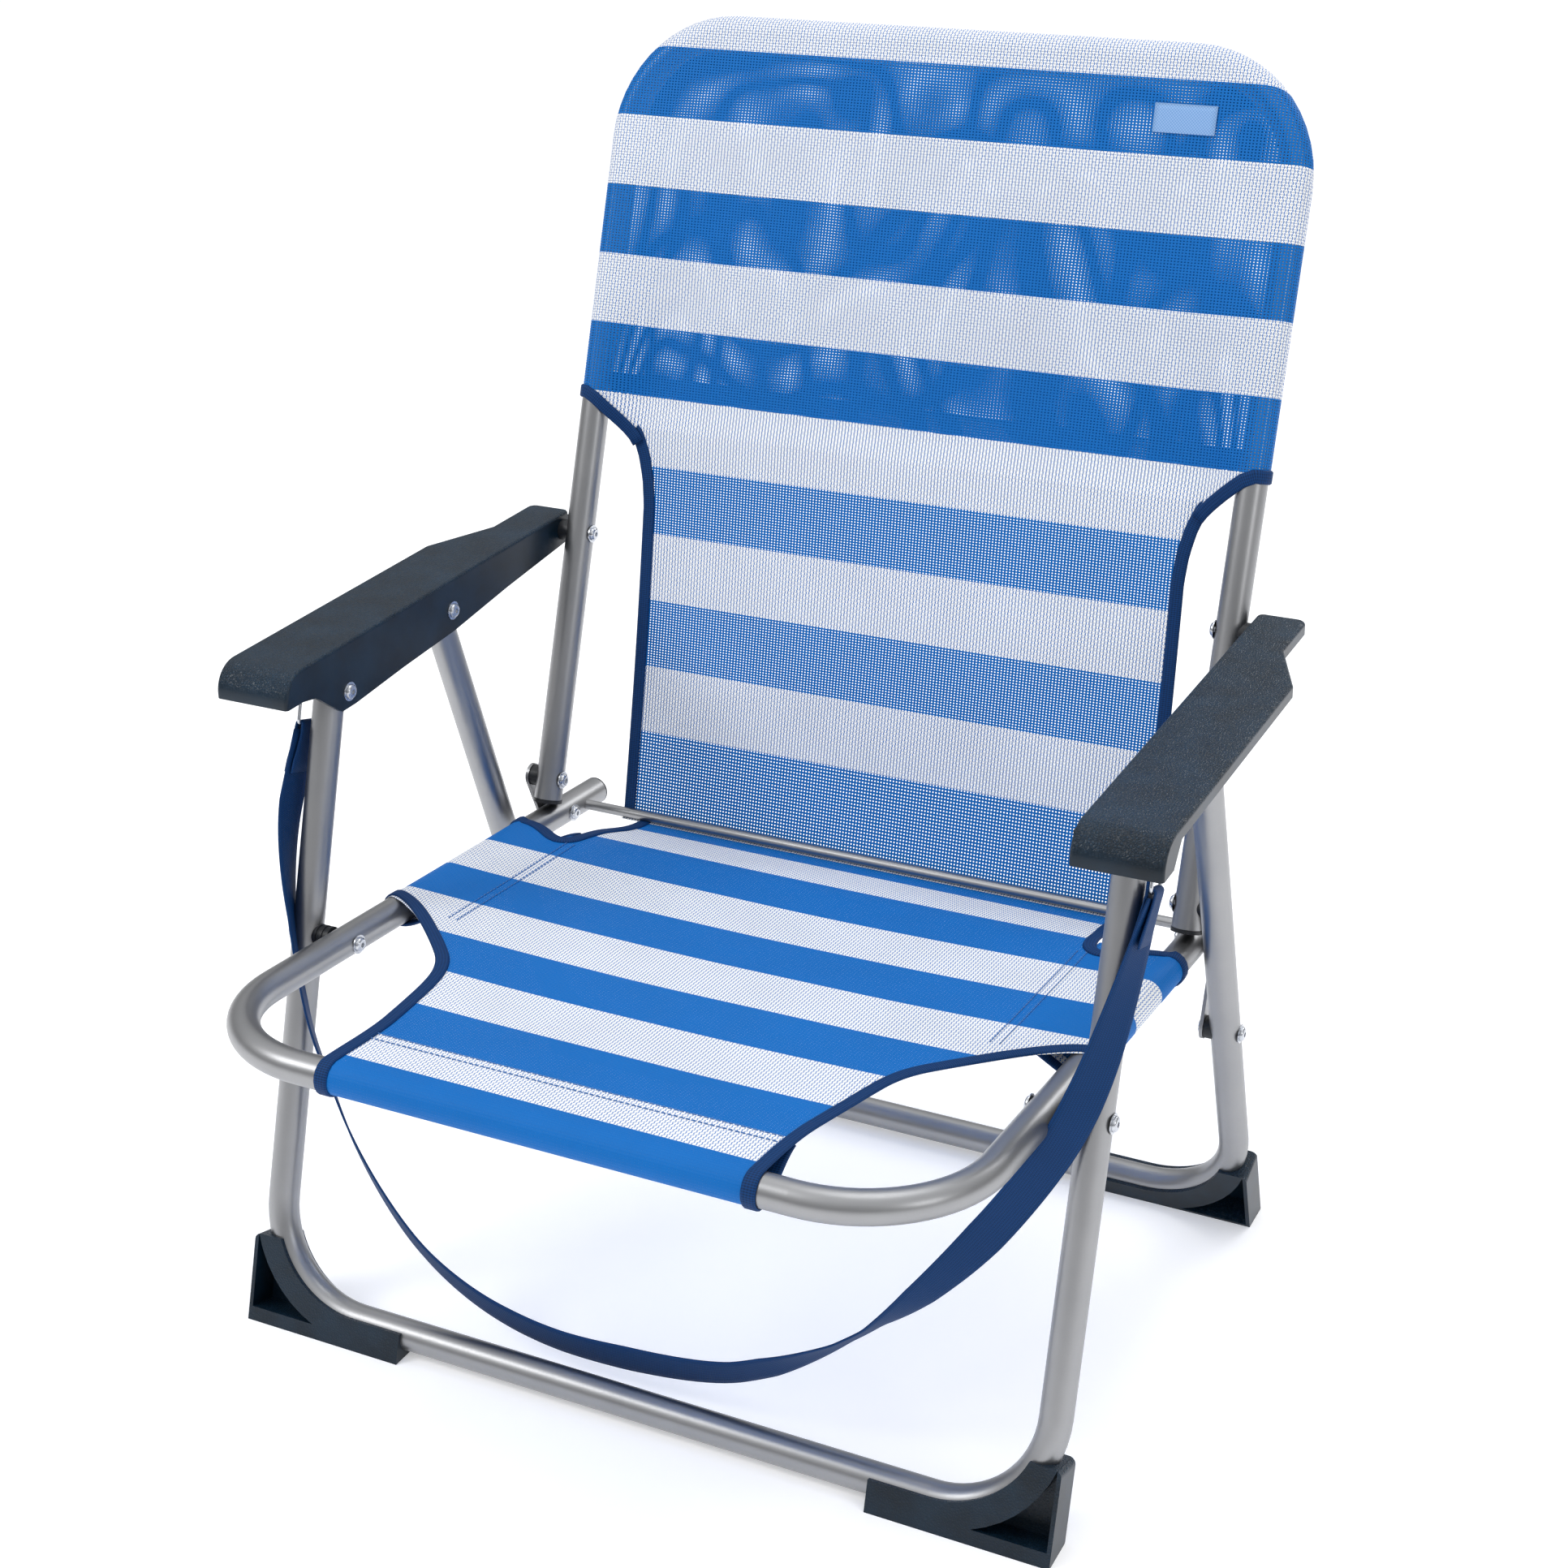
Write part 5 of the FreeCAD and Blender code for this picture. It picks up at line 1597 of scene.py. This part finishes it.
@dataclass
class CarryStrap:
    """Flat webbing that hangs between the two wire loops."""

    width: float = 26.0 * MM
    thickness: float = 1.5 * MM
    length: float = 1.129
    view: Vector = field(default_factory=lambda: Vector((0.42, -0.83, 0.36)))
    right: tuple[tuple[float, float, float], ...] = (
        (0.0, -10.0, -31.0),
        (-4.0, -25.0, -64.0),
        (-9.0, -43.0, -99.0),
        (-16.0, -58.0, -134.0),
        (-28.0, -72.0, -171.0),
        (-49.0, -81.0, -210.0),
        (-75.0, -87.0, -250.0),
        (-105.0, -92.0, -289.0),
        (-138.0, -95.0, -326.0),
        (-177.0, -98.0, -358.0),
        (-220.0, -101.0, -385.0),
        (-266.0, -103.0, -404.0),
    )
    left: tuple[tuple[float, float, float], ...] = (
        (270.0, -104.0, -413.0),
        (222.0, -104.0, -410.0),
        (176.0, -103.0, -398.0),
        (134.0, -101.0, -374.0),
        (102.0, -98.0, -340.0),
        (75.0, -94.0, -300.0),
        (57.0, -89.0, -262.0),
        (39.0, -83.0, -227.0),
        (25.0, -72.0, -190.0),
        (13.0, -60.0, -156.0),
        (3.0, -47.0, -122.0),
        (-2.0, -34.0, -88.0),
        (-1.5, -21.0, -59.0),
        (0.0, -10.0, -31.0),
    )
    # How far the webbing is turned from facing the front, in degrees, along its length.
    twist: tuple[tuple[float, float], ...] = (
        (0.0, 66),
        (0.05, 40),
        (0.12, 5),
        (0.22, 5),
        (0.28, 35),
        (0.32, 68),
        (0.345, 68),
        (0.40, 42),
        (0.50, 38),
        (0.58, 50),
        (0.65, 66),
        (0.75, 78),
        (0.88, 90),
        (0.955, 120),
        (1.0, 114),
    )
    # The wire loops lean this way and reach this many millimetres below the front hinge of
    # the armrest.
    lean: Vector = field(default_factory=lambda: Vector((0, -0.2765, -0.961)))
    hang: float = 28.7
    wire: float = 1.2 * MM

    def route(self) -> list[Vector]:
        """Middle line of the webbing, read from one smooth curve drawn by the given points.

        Returns:
            Points along it, from the right loop to the left one.
        """
        hook = (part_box("wire_loop_right")[0].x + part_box("wire_loop_right")[1].x) / 2
        spots = [ARM_FRONT + Vector((hook + a * MM, b * MM, c * MM)) for a, b, c in self.right]
        spots += [ARM_FRONT + Vector((a * MM - hook, b * MM, c * MM)) for a, b, c in self.left]
        curve = bpy.data.curves.new("strap_line", "CURVE")
        curve.dimensions = "3D"
        curve.resolution_u = 10
        spline = curve.splines.new("NURBS")
        spline.points.add(len(spots) - 1)
        for point, spot in zip(spline.points, spots):
            point.co = (*spot, 1.0)
        spline.order_u = 3
        spline.use_endpoint_u = True
        holder = bpy.data.objects.new("strap_line", curve)
        bpy.context.scene.collection.objects.link(holder)
        bpy.context.view_layer.update()
        mesh = bpy.data.meshes.new_from_object(holder)
        line = [v.co.copy() for v in mesh.vertices]
        bpy.data.objects.remove(holder)
        bpy.data.curves.remove(curve)
        bpy.data.meshes.remove(mesh)
        return line

    def stations(self, line: Sequence[Vector]) -> list[Station]:
        """Turn the webbing along its line.

        Args:
            line: Middle line of the webbing.

        Returns:
            Stations with the width along side.
        """
        lengths = [0.0]
        for a, b in zip(line, line[1:]):
            lengths.append(lengths[-1] + (b - a).length)
        total = lengths[-1]
        made = []
        for k, point in enumerate(line):
            way = (line[min(len(line) - 1, k + 1)] - line[max(0, k - 1)]).normalized()
            side = way.cross(self.view).normalized()
            face = side.cross(way).normalized()
            turn = math.radians(between(self.twist, lengths[k] / total))
            side, face = (
                side * math.cos(turn) + face * math.sin(turn),
                face * math.cos(turn) - side * math.sin(turn),
            )
            made.append(Station(point, side, face, lengths[k]))
        return made

    def build_strap(self) -> None:
        """The webbing itself."""
        line = self.route()
        made = new_cloth()
        sweep(made, flat_section(self.width, self.thickness, 6), self.stations(line))
        ends = self.build_ends(line)
        piece = publish(made, "strap_webbing", STRAP_WEBBING, Body.FRONT)
        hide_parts("carry_strap")

    def build_ends(self, line: Sequence[Vector]) -> bpy.types.Object:
        """Turn each end over its wire loop and back, and sew it down.

        Args:
            line: Middle line of the webbing.

        Returns:
            Both turned ends as one piece.
        """
        made = new_cloth()
        foot = ARM_FRONT + self.lean * self.hang * MM
        side = Vector((0, -self.lean.z, self.lean.y))
        reach = self.wire + self.thickness
        sewn = (34, 26, 17, 8, 2)
        for first, second, loop in (
            (line[0], line[1], "wire_loop_right"),
            (line[-1], line[-2], "wire_loop_left"),
        ):
            low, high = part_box(loop)
            down = (second - first).normalized()
            bar = Vector(((low.x + high.x) / 2, foot.y, foot.z))
            off = side.cross(down).normalized()
            points = [bar + down * d * MM + off * reach for d in sewn]
            for k in range(1, 8):
                angle = math.pi * k / 8
                points.append(bar + off * reach * math.cos(angle) - down * reach * math.sin(angle))
            points += [bar + down * d * MM - off * reach for d in reversed(sewn)]
            stations = []
            length = 0.0
            for k, point in enumerate(points):
                before, after = points[max(0, k - 1)], points[min(len(points) - 1, k + 1)]
                way = (after - before).normalized()
                pinch = 0.66 + 0.2 * ease(8 * MM, 30 * MM, (point - bar).length)
                stations.append(Station(point, side * pinch, side.cross(way), length))
                length += (after - point).length
            sweep(made, flat_section(self.width, self.thickness, 6), stations)
        return publish(made, "strap_sewn_ends", STRAP_WEBBING, Body.FRONT)

    def build(self) -> None:
        """Make the strap and its ends."""
        self.build_strap()


# ---------------------------------------------------------------- hard parts


@dataclass
class HardParts:
    """Finishes of the carried-over frame, plastic and screws."""

    finishes: dict[str, Finish] = field(
        default_factory=lambda: {
            "satin_tube": ALUMINIUM,
            "slate_plastic": SLATE_PLASTIC,
            "black_plastic": BLACK_NYLON,
            "zinc_steel": ZINC,
        }
    )

    def build(self) -> None:
        """Give every hard node the finish of its record slot."""
        for entry in frame["record"]["subparts"]:
            finish = self.finishes.get(entry["material_slot"])
            if finish is None:
                continue
            node = frame["nodes"][entry["node"]]
            node.data.materials.clear()
            node.data.materials.append(finish.material())
            LOG.info("%s: %s", entry["node"], finish.name)


# ---------------------------------------------------------------- studio


@dataclass
class Studio:
    """Camera, soft lights and a pale floor."""

    azimuth: float = 26.03
    elevation: float = 22.49
    roll: float = -0.41
    place: tuple[float, float, float] = (0.7536, -1.4667, 1.1193)
    lens: float = 59.585
    shift: tuple[float, float] = (-0.02172, -0.04281)

    def build_camera(self) -> None:
        """Camera in front, a little to the side and above."""
        a, e, r = (math.radians(v) for v in (self.azimuth, self.elevation, self.roll))
        back = Vector((math.sin(a) * math.cos(e), -math.cos(a) * math.cos(e), math.sin(e)))
        level = Vector((math.cos(a), math.sin(a), 0))
        upright = back.cross(level)
        right = level * math.cos(r) + upright * math.sin(r)
        up = upright * math.cos(r) - level * math.sin(r)
        data = bpy.data.cameras.new("camera")
        data.lens = self.lens
        data.sensor_width = 36.0
        data.shift_x, data.shift_y = self.shift
        data.clip_start = 0.05
        camera = bpy.data.objects.new("camera", data)
        turn = Matrix((right, up, back)).transposed().to_4x4()
        camera.matrix_world = Matrix.Translation(Vector(self.place)) @ turn
        bpy.context.scene.collection.objects.link(camera)
        bpy.context.scene.camera = camera

    def add_light(
        self, name: str, place: tuple[float, float, float], size: float, power: float
    ) -> None:
        """Add a square softbox that looks at the chair.

        Args:
            name: Name of the light.
            place: Where it stands.
            size: Its width.
            power: Its power in watts.
        """
        data = bpy.data.lights.new(name, "AREA")
        data.size = size
        data.energy = power
        lamp = bpy.data.objects.new(name, data)
        aim = Vector((0, 0, 0.4)) - Vector(place)
        turn = aim.to_track_quat("-Z", "Y").to_matrix().to_4x4()
        lamp.matrix_world = Matrix.Translation(Vector(place)) @ turn
        bpy.context.scene.collection.objects.link(lamp)

    def build_floor(self) -> None:
        """Floor far wider than the chair."""
        made = bmesh.new()
        bmesh.ops.create_grid(made, x_segments=8, y_segments=8, size=12.0)
        mesh = bpy.data.meshes.new("floor")
        made.to_mesh(mesh)
        made.free()
        mesh.materials.append(StudioFloor("matt_white_floor").material())
        floor = bpy.data.objects.new("floor", mesh)
        bpy.context.scene.collection.objects.link(floor)

    def build_world(self) -> None:
        """Even pale surroundings."""
        world = bpy.data.worlds.new("studio")
        world.use_nodes = True
        tree = world.node_tree
        sky = tree.nodes["Background"]
        way = add_node(tree, "ShaderNodeTexCoord")
        part = add_node(tree, "ShaderNodeSeparateXYZ", None, {0: way.outputs["Generated"]})
        glow = add_node(
            tree,
            "ShaderNodeMapRange",
            None,
            {0: part.outputs[2], 1: 0.0, 2: 0.8, 3: 0.14, 4: 1.05},
        )
        ray = add_node(tree, "ShaderNodeLightPath")
        seen = add_node(
            tree,
            "ShaderNodeMix",
            {"data_type": "FLOAT"},
            {0: ray.outputs["Is Camera Ray"], 2: glow, 3: 1.0},
        )
        tree.links.new(seen.outputs[0], sky.inputs[1])
        sky.inputs[0].default_value = linear("#FAFBFD")
        bpy.context.scene.world = world
        bpy.context.scene.view_settings.view_transform = "Standard"

    def build(self) -> None:
        """Make the studio."""
        self.build_camera()
        self.build_floor()
        self.add_light("key", (-1.9, -1.7, 2.4), 1.0, 26)
        self.add_light("fill", (2.6, -1.0, 1.4), 0.8, 9)
        self.add_light("top", (0.2, 0.4, 2.8), 1.4, 12)
        self.add_light("rim", (1.0, 2.4, 1.8), 1.0, 14)
        self.build_world()


def main() -> None:
    """Build the chair in order and report each piece."""
    logging.basicConfig(level=logging.INFO, format="%(message)s")
    for part in (Studio(), CarryStrap(), HardParts(), BackFabric(), SeatFabric()):
        part.build()
        LOG.info("%s done", type(part).__name__)


if __name__ == "__main__":
    main()
